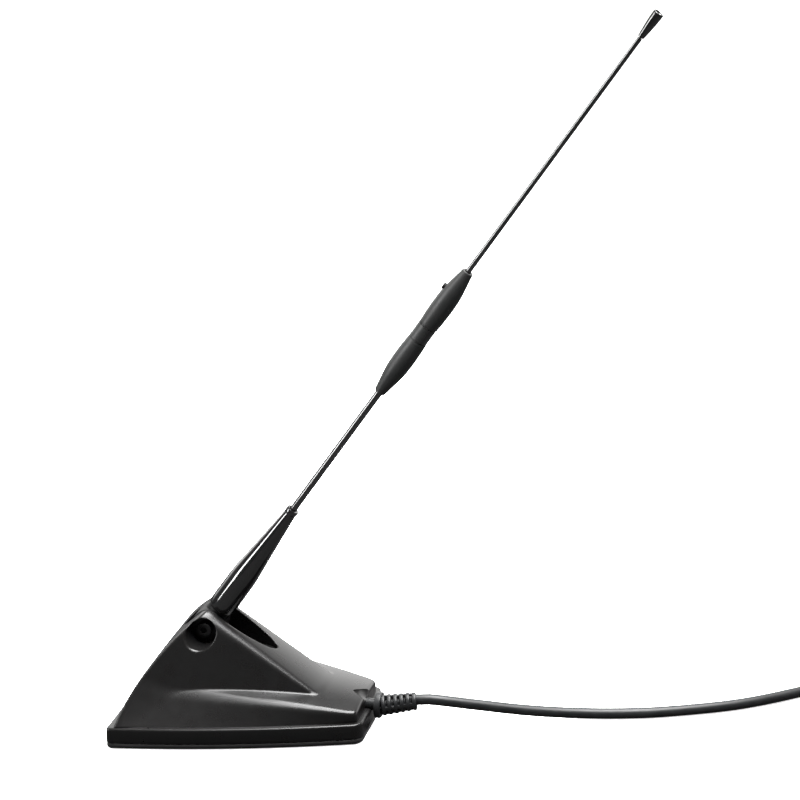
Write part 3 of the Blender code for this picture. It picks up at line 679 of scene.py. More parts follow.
    def section(self, along: float, inset: float = 0.0, columns: int | None = None) -> list[Vector]:
        """Gives the body's cross-section at a distance from the nose, closer set where it curves.

        Args:
            along: From the nose, in mm.
            inset: How far it is pulled in.
            columns: Points on one half, or None for the housing's own.

        Returns:
            A ring of points in metres, from one foot over the top to the other.
        """
        count = columns or self.columns
        angle = np.linspace(0.0, math.pi / 2, 900)
        dy, dz = np.cos(angle), np.sin(angle)
        low, high = np.zeros_like(angle), np.full_like(angle, 90.0)
        x = np.full_like(angle, along)
        for _ in range(34):
            middle = (low + high) / 2
            outside = self.fullness(x, dy * middle, self.ray_height + dz * middle, inset) > 0
            high = np.where(outside, middle, high)
            low = np.where(outside, low, middle)
        y, z = dy * high, self.ray_height + dz * high
        ahead = np.arctan2(np.diff(z), np.diff(y))
        bend = np.abs(np.diff(np.unwrap(ahead)))
        padded = np.concatenate(([0.0], bend, [0.0]))
        bend = np.convolve(padded, np.ones(9) / 9, mode="same")[: len(angle) - 1]
        step = np.hypot(np.diff(y), np.diff(z))
        weight = np.concatenate(([0.0], np.cumsum(step / 1.5 + bend * 9.0)))
        marks = np.interp(np.linspace(0, weight[-1], count), weight, np.arange(len(angle)))
        index = np.arange(len(angle))
        ys, zs = np.interp(marks, index, y), np.interp(marks, index, z)
        right = [from_nose(along, -a, b) for a, b in zip(ys, zs)]
        left = [from_nose(along, a, b) for a, b in zip(ys[:-1], zs[:-1])]
        return right + left[::-1]

    def stations(self) -> np.ndarray:
        """Gives the distances from the nose at which the body is cut, closer set where it turns."""
        tail = BASE_LENGTH - self.ledge - 0.02
        curl = tail - 1.9 * (1 - np.sin(np.linspace(0, math.pi / 2, 12)))
        spans = ((1.3, 5.6, 15), (6.0, 27.6, 44), (28.0, 41.0, 32), (41.8, 101.0, 66), (101.9, 102.8, 2))
        return np.concatenate((*(np.linspace(*span) for span in spans), curl))

    def flat_ring(self, points: Sequence[Span], height: float) -> list[Vector]:
        """Lays a plan at one height."""
        return [from_nose(x, y, height) for x, y in points]

    def rim(self) -> Piece:
        """Builds the rim, with a rounded upper edge and a small round at the seam.

        Returns:
            The rim as a solid.
        """
        levels = [(self.seam + over, inset) for over, inset in ((0.0, 0.35), (0.12, 0.12), (0.4, 0.0))]
        levels += [(self.rim_top - below, inset) for below, inset in (
            (1.1, 0.0), (0.75, 0.05), (0.45, 0.19), (0.2, 0.42), (0.05, 0.75), (0.0, 1.15))]
        return Bench.loft("rim", [self.flat_ring(self.outline(inset), height) for height, inset in levels])

    def slot_plan(self, spread: float, steps: int = 14) -> list[Span]:
        """Gives the slot's plan between the ears: a round front, parallel cheeks, a pointed back.

        Args:
            spread: How far it is widened, in mm.
            steps: Points on each quarter.

        Returns:
            Points (from the nose, sideways) round the slot, in mm.
        """
        front, back = self.slot_span
        first, last = self.slot_cheeks
        wide = self.slot_half + spread
        quarter = [math.radians(90 * i / (steps + 0.5)) for i in range(steps + 1)]
        half = [(first - (first - front + spread) * math.cos(a), wide * math.sin(a)) for a in quarter]
        half += [(last + (back - last + spread) * math.cos(a), wide * math.sin(a)) for a in reversed(quarter)]
        return [(x, -y) for x, y in half] + [(x, y) for x, y in reversed(half[1:-1])]

    def slot_tool(self) -> Piece:
        """Builds the tool that opens the slot and rounds its lips."""
        rings = [self.flat_ring(self.slot_plan(0.0), self.slot_floor)]
        lip = 0.9
        for i in range(7):
            turn = math.radians(90 * i / 6)
            spread, below = lip * (1 - math.cos(turn)), lip * (1 - math.sin(turn))
            ring = []
            for x, y in self.slot_plan(spread):
                top = self.slope_top - self.slope_fall * x - self.crown * (y / self.crown_span) ** 2
                ring.append(from_nose(x, y, min(top, self.crest + 0.2) - below))
            rings.append(ring)
        rings.append(self.flat_ring(self.slot_plan(lip + 0.3), 70.0))
        return Bench.loft("slot tool", rings)

    def pocket_tool(self, side: int) -> Piece:
        """Builds the tool that bores a hinge pocket and rounds its mouth.

        Args:
            side: -1 for the near ear, 1 for the far one.

        Returns:
            The tool.
        """
        steps, lip, slant = 72, 0.8, 1.09
        rings = []
        levels: list[tuple[float, float | None]] = [(0.0, None)]
        levels += [(lip * (1 - math.cos(math.radians(15 * i))), lip * (1 - math.sin(math.radians(15 * i))))
                   for i in range(7)]
        for spread, below in levels:
            ring = []
            for i in range(steps):
                turn = 2 * math.pi * i / steps
                x = HINGE_ALONG + (self.pocket + spread) * math.cos(turn)
                z = HINGE_HEIGHT + (self.pocket + spread) * math.sin(turn)
                face = self.fin_half - self.fin_taper * x - self.fin_lean * z
                depth = self.pocket_floor if below is None else face - below * slant
                ring.append(from_nose(x, side * depth, z))
            rings.append(ring)
        rings.append([Vector((p.x, side * 32 * MM, p.z)) for p in rings[-1]])
        return Bench.loft("pocket tool", rings)

    def scoop_tool(self) -> Piece:
        """Builds the flat cone that the top gives up above the cable's exit."""
        tool = Bench.lathe("scoop tool", [(0, 0), (16, 13.5), (16, 0)], ALONG, steps=48)
        tool.data.transform(Matrix.Translation(from_nose(99.6, 0, 17.0)) @ Matrix.Diagonal((1, 1, 0.5, 1)))
        return tool

    def cavity(self) -> Piece:
        """Builds the room inside the housing, less its screw bosses and the saddle for the lead.

        Returns:
            The room as a solid.
        """
        floor = [self.flat_ring(self.outline(self.wall, steps=12), z) for z in (0.0, self.rim_top - 2.0)]
        room = Bench.loft("room", floor)
        cuts = np.linspace(7.0, 102.0, 30)
        cave = Bench.loft("cave", [self.section(float(x), self.wall, 16) for x in cuts])
        lid = Bench.block("lid", (NOSE_X - 5, -60, 30.5), (NOSE_X + 120, 60, 80))
        Bench.combine(cave, lid, "DIFFERENCE")
        Bench.combine(room, cave, "UNION")
        tail = NOSE_X + BASE_LENGTH
        saddle = Bench.block("saddle", (tail - 8.1, -9.5, 5.6), (tail - 3.5, 9.5, 12.6))
        Bench.combine(room, saddle, "DIFFERENCE")
        for x, y in self.screws:
            at = from_nose(x, y, 0)
            Bench.combine(room, Bench.rod("boss", (5.6, 40), 3.2, UP, at, 24), "DIFFERENCE")
            Bench.combine(room, Bench.rod("pilot", (5, 12), 1.6, UP, at, 20), "UNION")
        return room

    def openings(self) -> Piece:
        """Builds all that is cut from the moulding as one solid, so that it is cut in one step.

        Returns:
            The slot, the pockets, the bores, the scoop and the cavity, joined.
        """
        cut = self.slot_tool()
        tools = [self.pocket_tool(-1), self.pocket_tool(1), self.scoop_tool(),
                 Bench.rod("pivot bore", (-12, 12), 2.3, ACROSS, HINGE, 40),
                 Bench.rod("feed way", (28, 36), 3.5, UP, Vector((HINGE.x, 0, 0)), 32),
                 Bench.rod("lead bore", (-12, 4), 3.0, ALONG, from_nose(BASE_LENGTH, 0, LEAD_HEIGHT), 40)]
        tools.append(self.cavity())
        for tool in tools:
            Bench.combine(cut, tool, "UNION")
        return cut

    def build(self) -> Piece:
        """Builds the housing.

        Returns:
            The finished piece.
        """
        shell = Bench.loft("housing_body", [self.section(float(x)) for x in self.stations()])
        Bench.combine(shell, self.rim(), "UNION")
        Bench.combine(shell, self.openings(), "DIFFERENCE")
        return dress(shell, HOUSING_PLASTIC, "base", "housing_shell", degrees=28)


@dataclass
class FootPad:
    """The rubber foot under the housing, with seats for the magnets."""

    housing: Housing
    magnets: tuple[Span, ...] = ((27, -17), (27, 17), (64, 0))
    magnet: float = 13.3

    def build(self) -> Piece:
        """Builds the foot.

        Returns:
            The finished piece.
        """
        levels = ((0, 2.3), (0.1, 1.75), (0.3, 1.2), (0.6, 0.75), (1.0, 0.4), (1.5, 0.18), (2.1, 0.1),
                  (2.75, 0.12), (2.93, 0.28), (3.0, 0.5))
        rings = [self.housing.flat_ring(self.housing.outline(inset), height) for height, inset in levels]
        pad = Bench.loft("foot_band", rings)
        for x, y in self.magnets:
            seat = Bench.rod("seat", (1.0, 5), self.magnet, UP, from_nose(x, y, 0), 48)
            Bench.combine(pad, seat, "DIFFERENCE")
        return dress(pad, FOOT_RUBBER, "base", "foot_pad", degrees=40)


@dataclass
class Hinge:
    """The pivot that the whip folds on: bolt, nut, washers and the knuckle."""

    pocket_floor: float = 9.4
    pivot: float = 2.0
    slot_half: float = 7.6
    knuckle_half: float = 6.4
    knuckle_radius: float = 7.3

    def bolt(self) -> Piece:
        """Builds the pivot bolt with its hexagon socket."""
        floor = self.pocket_floor
        profile = [(-floor - 2.6, 0), (-floor - 2.6, 3.6), (-floor - 0.3, 3.6), (-floor - 0.3, self.pivot),
                   (13.5, self.pivot), (13.5, 0)]
        bolt = Bench.lathe("pivot_screw", eased(profile, {1: 0.7, 2: 0.2, 4: 0.5}), ACROSS, HINGE, 48)
        recess = [(-14, 0), (-14, 1.75), (-10.6, 1.75), (-10.4, 0)]
        socket = Bench.lathe("socket tool", recess, ACROSS, HINGE, 6)
        Bench.combine(bolt, socket, "DIFFERENCE")
        Bench.bevel(bolt, 0.12, 2, 40)
        return dress(bolt, BLACK_OXIDE, "base", "pivot_bolt")

    def nut(self) -> Piece:
        """Builds the hexagon nut on the far side."""
        low, high, bore = self.pocket_floor + 0.3, self.pocket_floor + 3.2, self.pivot + 0.3
        profile = [(low, bore), (low, 4.0), (high, 4.0), (high, bore)]
        nut = Bench.lathe("pivot_hex_nut", profile, ACROSS, HINGE, 6)
        thread = Bench.rod("thread tool", (low - 1, high + 1), bore, ACROSS, HINGE, 32)
        Bench.combine(nut, thread, "DIFFERENCE")
        Bench.bevel(nut, 0.18, 3, 40)
        return dress(nut, BLACK_OXIDE, "base", "pivot_nut")

    def washers(self) -> None:
        """Builds the two friction washers."""
        near, far = self.knuckle_half + 0.3, self.slot_half - 0.3
        sides = ((-1, "washer_near", "friction_washer_left"), (1, "washer_far", "friction_washer_right"))
        for side, name, node in sides:
            profile = eased([(near, 2.3), (near, 5.5), (far, 5.5), (far, 2.3)], {1: 0.15, 2: 0.15})
            washer = Bench.lathe(name, profile, ACROSS * side, HINGE, 56)
            dress(washer, BLACK_OXIDE, "base", node)

    def knuckle(self) -> Piece:
        """Builds the turning knuckle with the stud that the ferrule screws on to."""
        half, radius = self.knuckle_half, self.knuckle_radius
        eye = [(-half, 2.3), (-half, radius), (half, radius), (half, 2.3)]
        knuckle = Bench.lathe("knuckle_eye", eased(eye, {1: 1.3, 2: 1.3}, 6), ACROSS, HINGE, 72)
        neck = [(1.0, 0), (1.0, 5.6), (8.6, 5.6), (8.6, 3.0), (20, 3.0), (20, 0)]
        stud = Bench.lathe("stud", eased(neck, {2: 0.7, 4: 0.5}), WHIP_AXIS, HINGE, 56)
        Bench.combine(knuckle, stud, "UNION")
        return dress(knuckle, BLACK_OXIDE, "whip", "hinge_knuckle")

    def build(self) -> None:
        """Builds all pieces of the hinge."""
        self.bolt()
        self.nut()
        self.washers()
        self.knuckle()


# The whip


@dataclass
class Whip:
    """The ferrule, the two rods, the phasing coil's sleeves and the tip, along the whip's axis."""

    clear: float = 1.95
    lower_rod: Span = (60.0, 150.0)
    upper_rod: Span = (188.0, 334.4)
    set_screw_at: float = 198.5

    def turned(self, name: str, profile: Profile, finish: Finish, body: str, *nodes: str,
               steps: int = 64) -> Piece:
        """Turns one piece on the whip's axis and dresses it.

        Args:
            name: The piece's name.
            profile: Its closed outline, in mm from the hinge.
            finish: Its finish.
            body: The body that it rides on.
            nodes: The CAD nodes that it replaces.
            steps: Steps round it.

        Returns:
            The finished piece.
        """
        piece = Bench.lathe(name, profile, WHIP_AXIS, HINGE, steps)
        return dress(piece, finish, body, *nodes)

    def ferrule(self) -> None:
        """Builds the lacquered ferrule: a short barrel, a long cone and a rolled rim."""
        taper = [(26.0, 6.17), (28.0, 6.13), (30.0, 6.04), (32.0, 5.90), (36.0, 5.53), (42.0, 4.96),
                 (48.0, 4.41), (54.0, 3.88), (60.0, 3.38), (64.0, 3.06), (66.5, 2.87), (67.9, 2.77)]
        barrel = [(9.0, 3.35), (9.0, 5.7), (9.12, 6.02), (9.4, 6.22), (9.8, 6.28), (14.0, 6.25), (20.0, 6.21)]
        rim = [(68.1, 2.80), (68.35, 2.93), (68.7, 2.99), (69.2, 3.0), (69.8, 2.97), (70.2, 2.88),
               (70.5, 2.70), (70.6, 2.4), (70.6, self.clear)]
        bore = [(59.6, self.clear), (59.6, 1.0), (20.6, 1.0), (20.6, 3.35)]
        outline = barrel + taper + rim + bore
        self.turned("ferrule_sleeve", outline, FERRULE_LACQUER, "whip", "whip_ferrule", steps=96)

    def rods(self) -> None:
        """Builds the lower rod, and the upper rod that slides in the coil."""
        low, high = self.lower_rod
        lower = eased([(low, 0), (low, 1.65), (high, 1.65), (high, 0)], {1: 0.3, 2: 0.3})
        self.turned("lower_mast", lower, ROD_BLACK, "whip", "lower_rod", steps=40)
        low, high = self.upper_rod
        upper = [(low, 0), (low, 1.3), (high, 1.1), (high, 0.6), (high + 6, 0.6), (high + 6, 0)]
        upper = eased(upper, {1: 0.3, 2: 0.1})
        self.turned("upper_mast", upper, ROD_BLACK, "whip_top", "upper_rod", steps=40)

    def sleeve(self, near: float, far: float, bore: float, seat: float) -> Profile:
        """Gives the outline of one half of the coil's sleeve.

        Args:
            near: Its outer end.
            far: Its end at the coil's band.
            bore: Radius of the rod's way.
            seat: Where the coil's own room begins.

        Returns:
            The closed outline.
        """
        way = 1 if far > near else -1
        swell = [(0.0, 2.30), (0.08, 2.47), (0.35, 2.58), (1.2, 2.72), (2.4, 2.90), (4.4, 3.26), (6.4, 3.62),
                 (8.4, 3.96), (10.4, 4.26), (12.4, 4.50), (14.4, 4.66), (16.4, 4.76), (18.4, 4.79), (20.6, 4.79),
                 (23.0, 4.74), (26.0, 4.62), (28.6, 4.47), (30.1, 4.38), (30.36, 4.28)]
        outer = [(near + way * along, radius) for along, radius in swell]
        return [(near, bore), *outer, (far, 4.05), (far, 3.1), (seat, 3.1), (seat, bore)]

    def coil(self) -> None:
        """Builds the coil's two sleeves, the gloss band between them and the bar that bridges it."""
        low, high = self.sleeve(141.3, 171.7, 1.95, 150.3), self.sleeve(210.0, 179.6, 1.6, 187.7)
        lower = Bench.lathe("coil_moulding_lower", low, WHIP_AXIS, HINGE, 80)
        upper = Bench.lathe("coil_moulding_upper", high, WHIP_AXIS, HINGE, 80)
        place = HINGE + WHIP_AXIS * self.set_screw_at * MM
        way = Bench.rod("screw way", (1.0, 8), 1.8, -WHIP_UNDERSIDE, place, 32)
        Bench.combine(upper, way, "DIFFERENCE")
        for piece, node in ((lower, "coil_lower_sleeve"), (upper, "coil_upper_sleeve")):
            dress(piece, COIL_CHARCOAL, "whip", node)
        band = eased([(172.0, 3.1), (172.0, 4.2), (179.3, 4.2), (179.3, 3.1)], {1: 0.12, 2: 0.12})
        self.turned("coil_gloss_band", band, WINDOW_GLOSS, "whip", "coil_window", steps=80)
        bar = [(171.85, 4.23), (171.85, 4.36), (179.45, 4.36), (179.45, 4.23)]
        turn = math.radians(10)
        facing = (WHIP_UNDERSIDE * math.cos(turn) + ACROSS * math.sin(turn)).normalized()
        bridge = Bench.lathe("coil_bridge", bar, WHIP_AXIS, HINGE, 36, 150.0, facing)
        dress(bridge, COIL_CHARCOAL, "whip")

    def set_screw(self) -> None:
        """Builds the set screw with its hexagon socket."""
        at = HINGE + WHIP_AXIS * self.set_screw_at * MM
        profile = [(1.6, 0), (1.6, 0.8), (2.4, 1.5), (5.3, 1.5), (5.3, 0)]
        screw = Bench.lathe("grub_screw", eased(profile, {3: 0.55}), -WHIP_UNDERSIDE, at, 40)
        socket = Bench.rod("socket tool", (4.3, 7), 0.8, -WHIP_UNDERSIDE, at, 6)
        Bench.combine(screw, socket, "DIFFERENCE")
        dress(screw, BLACK_OXIDE, "whip", "set_screw")

    def tip(self) -> None:
        """Builds the flared cap on the tip, with its shallow hollow end."""
        profile = [(334.8, 0.95), (334.8, 1.30), (334.95, 1.42), (335.6, 1.50), (337.0, 1.68), (339.5, 1.95),
                   (342.0, 2.17), (344.2, 2.31), (345.6, 2.35), (346.8, 2.35), (347.1, 2.28), (347.27, 2.13),
                   (347.3, 1.95), (347.15, 1.80), (346.75, 1.66), (346.6, 1.4), (346.6, 0.3), (340.9, 0.3),
                   (340.9, 0.95)]
        self.turned("tip_bead", profile, FERRULE_LACQUER, "whip_top", "tip_cap", steps=64)

    def build(self) -> None:
        """Builds all pieces of the whip."""
        self.ferrule()
        self.rods()
        self.coil()
        self.set_screw()
        self.tip()


# The lead


def smooth_line(points: Sequence[Sequence[float]], pitch: float) -> list[Vector]:
    """Gives points at even distances on a smooth curve through given points.

    Args:
        points: The route, in metres.
        pitch: The distance between points, in metres.

    Returns:
        The points, with both ends.
    """
    knots = [Vector(p) for p in points]
    knots = [2 * knots[0] - knots[1], *knots, 2 * knots[-1] - knots[-2]]
    fine: list[Vector] = []
    for a, b, c, d in zip(knots, knots[1:], knots[2:], knots[3:]):
        for i in range(24):
            t = i / 24
            fine.append(0.5 * (2 * b + (c - a) * t + (2 * a - 5 * b + 4 * c - d) * t**2
                               + (3 * b - a - 3 * c + d) * t**3))
    fine.append(knots[-2])
    total = sum((q - p).length for p, q in zip(fine, fine[1:]))
    count = max(2, round(total / pitch))
    line, along = [fine[0]], 0.0
    for p, q in zip(fine, fine[1:]):
        along += (q - p).length
        if along >= total / count * len(line) and len(line) < count:
            line.append(q)
    return [*line, fine[-1]]


@dataclass
class Lead:
    """The coaxial lead from the boot to the plug, its spare length wound in a round coil."""

    radius: float = 2.5
    length: float = 3.0
    turns: int = 14
    winding_centre: Vector = field(default_factory=lambda: Vector((0.2917, 0.0689, 0.0)))
    inner: float = 22.5
    outer: float = 37.5
    layer_heights: tuple[float, ...] = (2.6, 6.95, 11.3, 15.35)
    leave_height: float = 15.4
    part_turn: float = 0.3556
    meets_at: float = math.radians(128.0)
    run: tuple[Place, ...] = (
        (0.0757, 0.0035, 0.0143), (0.0799, 0.0042, 0.0146), (0.0860, 0.0058, 0.0139), (0.0925, 0.0082, 0.0126),
        (0.1049, 0.0131, 0.0100), (0.1178, 0.0183, 0.0073), (0.1323, 0.0241, 0.0049), (0.1494, 0.0305, 0.0031),
        (0.1653, 0.0354, 0.0026), (0.1820, 0.0411, 0.0026), (0.2071, 0.0528, 0.0026), (0.2241, 0.0635, 0.0026),
        (0.2410, 0.0769, 0.0026), (0.2465, 0.0813, 0.0026), (0.2522, 0.0857, 0.0026))
    tail: tuple[Place, ...] = (
        (0.3266, 0.0440, 0.0139), (0.3257, 0.0360, 0.0125), (0.3232, 0.0260, 0.0104), (0.3188, 0.0155, 0.0086),
        (0.3140, 0.0075, 0.0078), (0.3110, 0.0023, 0.0076))

    def winding(self) -> list[Vector]:
        """Winds the spare length clockwise in four layers, each turn a diameter from the next.

        Returns:
            Points from where the lead meets the coil to where it leaves it.
        """
        tight, wide = self.inner + self.radius, self.outer - self.radius
        spans = ((self.outer, self.inner), (tight, wide)) * 2
        legs: list[Place] = []  # (turns done, radius, height)
        done = 0.0
        for (first, last), height in zip(spans, self.layer_heights):
            count = abs(last - first) / (2 * self.radius) + 1
            legs.append((done, first, height))
            for k in range(1, int(count)):
                legs.append((done + k - 0.25, first + (last - first) * (k - 1) / (count - 1), height))
                legs.append((done + k, first + (last - first) * k / (count - 1), height))
            done += count
            legs.append((done - 0.22, last, height))
        total = self.turns + self.part_turn
        legs.append((total, wide, self.leave_height))
        marks, radii, heights = np.array([leg for leg in legs if leg[0] <= total]).T
        points = []
        for share in np.linspace(0, total, int(total * 30)):
            radius, height = self.level(share, marks, radii), self.level(share, marks, heights)
            angle = self.meets_at - 2 * math.pi * share
            offset = Vector((radius * math.cos(angle), radius * math.sin(angle), height)) * MM
            points.append(self.winding_centre + offset)
        return points

    @staticmethod
    def level(at: float, marks: np.ndarray, values: np.ndarray) -> float:
        """Reads a value between marks with a smooth start and end of each ramp."""
        i = int(np.clip(np.searchsorted(marks, at, side="right") - 1, 0, len(marks) - 2))
        gap = marks[i + 1] - marks[i]
        t = 0.0 if gap <= 0 else float(np.clip((at - marks[i]) / gap, 0, 1))
        t = t * t * (3 - 2 * t)
        return float(values[i] + (values[i + 1] - values[i]) * t)

    def build(self) -> Piece:
        """Builds the lead as one curve of its whole length.

        Returns:
            The lead.
        """
        run = smooth_line(self.run, 0.005)
        coil = self.winding()
        tail = smooth_line([coil[-1], (0.3269, 0.0560, 0.0150), *self.tail], 0.005)
        run.insert(0, run[0] + (run[0] - run[1]).normalized() * 6 * MM)
        tail.append(tail[-1] + (tail[-1] - tail[-2]).normalized() * 4 * MM)
        points = run + smooth_line([run[-1], coil[0]], 0.005)[1:-1] + coil + tail[1:]
        curve = bpy.data.curves.new("lead", "CURVE")
        curve.dimensions = "3D"
        curve.bevel_depth = self.radius * MM
        curve.bevel_resolution = 4
        curve.use_fill_caps = True
        spline = curve.splines.new("POLY")
        spline.points.add(len(points) - 1)
        for point, place in zip(spline.points, points):
            point.co = (*place, 1.0)
        spline.use_smooth = True
        obj = bpy.data.objects.new("lead", curve)
        bpy.context.collection.objects.link(obj)
        LOG.info("the lead is %.3f m long", sum((q - p).length for p, q in zip(points, points[1:])))
        return dress(obj, CABLE_JACKET, "base", "cable_run", "cable_coil", "cable_tail")


@dataclass
class Boot:
    """The ribbed strain relief where the lead leaves the housing."""

    yaw: float = math.radians(12.0)
    climb: float = math.radians(8.5)
    length: float = 15.6
    ribs: int = 6
    rib: float = 1.55
    web_half: float = 0.85
    core: float = 2.7

    @property
    def pitch(self) -> float:
        """The distance from one rib to the next, in mm."""
        return (self.length - self.rib) / (self.ribs - 1)

    def radius(self, along: float) -> float:
        """Gives the boot's outer radius at a distance from its collar."""
        return 4.9 - 0.85 * along / self.length

    def depth(self, along: float) -> float:
        """Says how deep the windows are at a distance from the collar: 0 on a rib, 1 between two."""
        past = along % self.pitch
        if past < self.rib or along > self.length - self.rib:
            return 0.0
        return min(1.0, (past - self.rib) / 0.22, (self.pitch - past) / 0.22)

    def ring(self, axis: Vector, root: Vector, along: float, pull: float = 0.0, steps: int = 96) -> list[Vector]:
        """Gives one ring of the ribbed part, with webs at the quarters.

        Args:
            axis: The boot's axis.
            root: Where the boot leaves its collar.
            along: Distance from the collar, in mm.
            pull: How far the ring is drawn in, in mm.
            steps: Points round the ring.

        Returns:
            The ring's points.
        """
        up = (UP - axis * axis.dot(UP)).normalized()
        side = axis.cross(up)
        outer, deep = self.radius(along) - pull, self.depth(along)
        points = []
        for i in range(steps):
            turn = 2 * math.pi * i / steps
            off_web = abs((turn + math.pi / 4) % (math.pi / 2) - math.pi / 4) * outer
            open_share = min(max((off_web - self.web_half) / 0.25, 0.0), 1.0)
            radius = outer - deep * (open_share * (outer - self.core) + (1 - open_share) * 0.12)
            outward = up * math.cos(turn) + side * math.sin(turn)
            points.append(root + axis * along * MM + outward * radius * MM)
        return points

    def build(self) -> Piece:
        """Builds the boot: collar, core, ribs and the webs between them.

        Returns:
            The finished piece.
        """
        level = math.cos(self.climb)
        axis = Vector((math.cos(self.yaw) * level, math.sin(self.yaw) * level, math.sin(self.climb)))
        exit_place = from_nose(BASE_LENGTH, 0, LEAD_HEIGHT)
        collar = eased([(-10.5, 0), (-10.5, 3.2), (-8.6, 3.2), (-8.6, 2.7), (1.6, 2.7), (1.6, 6.0), (4.4, 6.0),
                        (4.4, 0)], {5: 0.4, 6: 0.7})
        boot = Bench.lathe("strain_relief", collar, ALONG, exit_place, 64)
        root = exit_place + ALONG * 4.4 * MM
        marks = [(-1.5, 1.2), (-0.2, 0.3)]
        for i in range(self.ribs):
            near, far = self.pitch * i, self.pitch * i + self.rib
            marks += [(near, 0.16), (near + 0.1, 0.05), (near + 0.28, 0.0), (far - 0.28, 0.0), (far - 0.1, 0.05)]
            if i < self.ribs - 1:
                marks += [(far - 0.01, 0.16), (far + 0.23, 0.0), (near + self.pitch - 0.23, 0.0)]
        marks.append((self.length, 0.2))
        ribbed = Bench.loft("ribs", [self.ring(axis, root, along, pull) for along, pull in marks])
        Bench.combine(boot, ribbed, "UNION")
        way = Bench.rod("lead way", (self.length - 7, self.length + 2), 2.56, axis, root, 48)
        Bench.combine(boot, way, "DIFFERENCE")
        return dress(boot, CABLE_JACKET, "base", "cable_boot")


@dataclass
class Plug:
    """The screw plug on the far end of the lead, with its turning nut."""

    rear: Vector = field(default_factory=lambda: Vector((0.3110, 0.0023, 0.0076)))
    axis: Vector = field(default_factory=lambda: Vector((-0.5, -0.866, 0.0)).normalized())

    def crimp(self) -> Piece:
        """Builds the crimped sleeve: a narrower waist between two raised round ends."""
        profile = [(5.0, 0), (5.0, 2.56), (0.3, 2.56), (0.3, 3.4), (1.4, 3.4), (1.8, 3.05), (8.2, 3.05), (8.6, 3.4),
                   (9.7, 3.4), (9.7, 0)]
        crimp = Bench.lathe("plug_sleeve", eased(profile, {3: 0.25, 8: 0.25}), self.axis, self.rear, 48)
        return dress(crimp, PLUG_NICKEL, "base", "plug_crimp")

    def shell(self) -> Piece:
        """Builds the plug's body."""
        profile = [(10.0, 4.2), (12.0, 5.6), (17.0, 5.6), (17.0, 4.3), (24.0, 4.3), (24.0, 3.5), (18.0, 3.5),
                   (18.0, 2.0), (14.0, 2.0), (14.0, 1.2), (10.0, 1.2)]
        outline = eased(profile, {0: 0.2, 1: 0.4, 2: 0.3, 4: 0.2})
        shell = Bench.lathe("plug_shell", outline, self.axis, self.rear, 56)
        return dress(shell, PLUG_NICKEL, "base", "plug_body")

    def nut(self) -> Piece:
        """Builds the coupling nut with straight knurls."""
        profile = [(17.3, 4.65), (17.3, 6.6), (18.0, 7.15), (18.8, 7.15), (19.1, 7.0), (27.9, 7.0), (28.2, 7.15),
                   (29.0, 7.15), (30.0, 6.5), (30.0, 5.4), (24.5, 5.4), (24.5, 4.65)]
        nut = Bench.lathe("plug_ring", profile, self.axis, self.rear, 72)
        Bench.combine(nut, self.knurls(), "UNION")
        return dress(nut, PLUG_NICKEL, "plug_collar", "plug_nut")

    def knurls(self, teeth: int = 48, foot: float = 6.9, top: float = 7.28) -> Piece:
        """Builds the straight knurls of the coupling nut as a tool.

        Args:
            teeth: How many there are.
            foot: Radius at their feet, in mm.
            top: Radius at their tops, in mm.

        Returns:
            The knurls, all in one mesh.
        """
        bm = bmesh.new()
        wide = 2 * math.pi / teeth * 0.28
        for i in range(teeth):
            turn = 2 * math.pi * i / teeth
            flanks = ((turn - wide, foot), (turn - wide * 0.45, top), (turn + wide * 0.45, top),
                      (turn + wide, foot))
            corners = []
            for along in (19.3, 27.7):
                for angle, radius in flanks:
                    x, y = radius * MM * math.cos(angle), radius * MM * math.sin(angle)
                    corners.append(bm.verts.new((x, y, along * MM)))
            a, b = corners[:4], corners[4:]
            bm.faces.new(a[::-1])
            bm.faces.new(b)
            for k in range(4):
                bm.faces.new((a[k], a[(k + 1) % 4], b[(k + 1) % 4], b[k]))
        mesh = bpy.data.meshes.new("knurls")
        bm.to_mesh(mesh)
        bm.free()
        frame = UP.rotation_difference(self.axis).to_matrix()
        mesh.transform(Matrix.Translation(self.rear) @ frame.to_4x4())
        knurls = bpy.data.objects.new("knurls", mesh)
        bpy.context.collection.objects.link(knurls)
        return knurls

    def build(self) -> list[Piece]:
        """Builds the plug.

        Returns:
            Its pieces.
        """
        return [self.crimp(), self.shell(), self.nut()]


# What the housing hides, and the studio


def dress_hidden(nodes: dict[str, Piece]) -> None:
    """Gives the CAD pieces that stay their finishes.

    Args:
        nodes: The CAD nodes by name.
    """
    finishes = {
        "base_plate": PLATED_STEEL, "magnet_yoke": PLATED_STEEL, "magnet_front_left": MAGNET_NICKEL,
        "magnet_front_right": MAGNET_NICKEL, "magnet_rear": MAGNET_NICKEL, "matching_board": BOARD_LAMINATE,
        "matching_can": PLATED_STEEL, "feed_spring": BRASS, "coil_core": DIELECTRIC, "phasing_coil": COPPER,
        "lead_inner": CABLE_JACKET, "plug_insulator": DIELECTRIC, "plug_pin": BRASS,
    }
    for name, obj in nodes.items():
        finish = finishes.get(name) or (ZINC_NICKEL if "screw" in name and name != "set_screw" else None)
        if finish is None:
            continue
        for slot in obj.material_slots:
            slot.material = finish.material()
        LOG.info("%s is dressed as %s", name, finish.name)


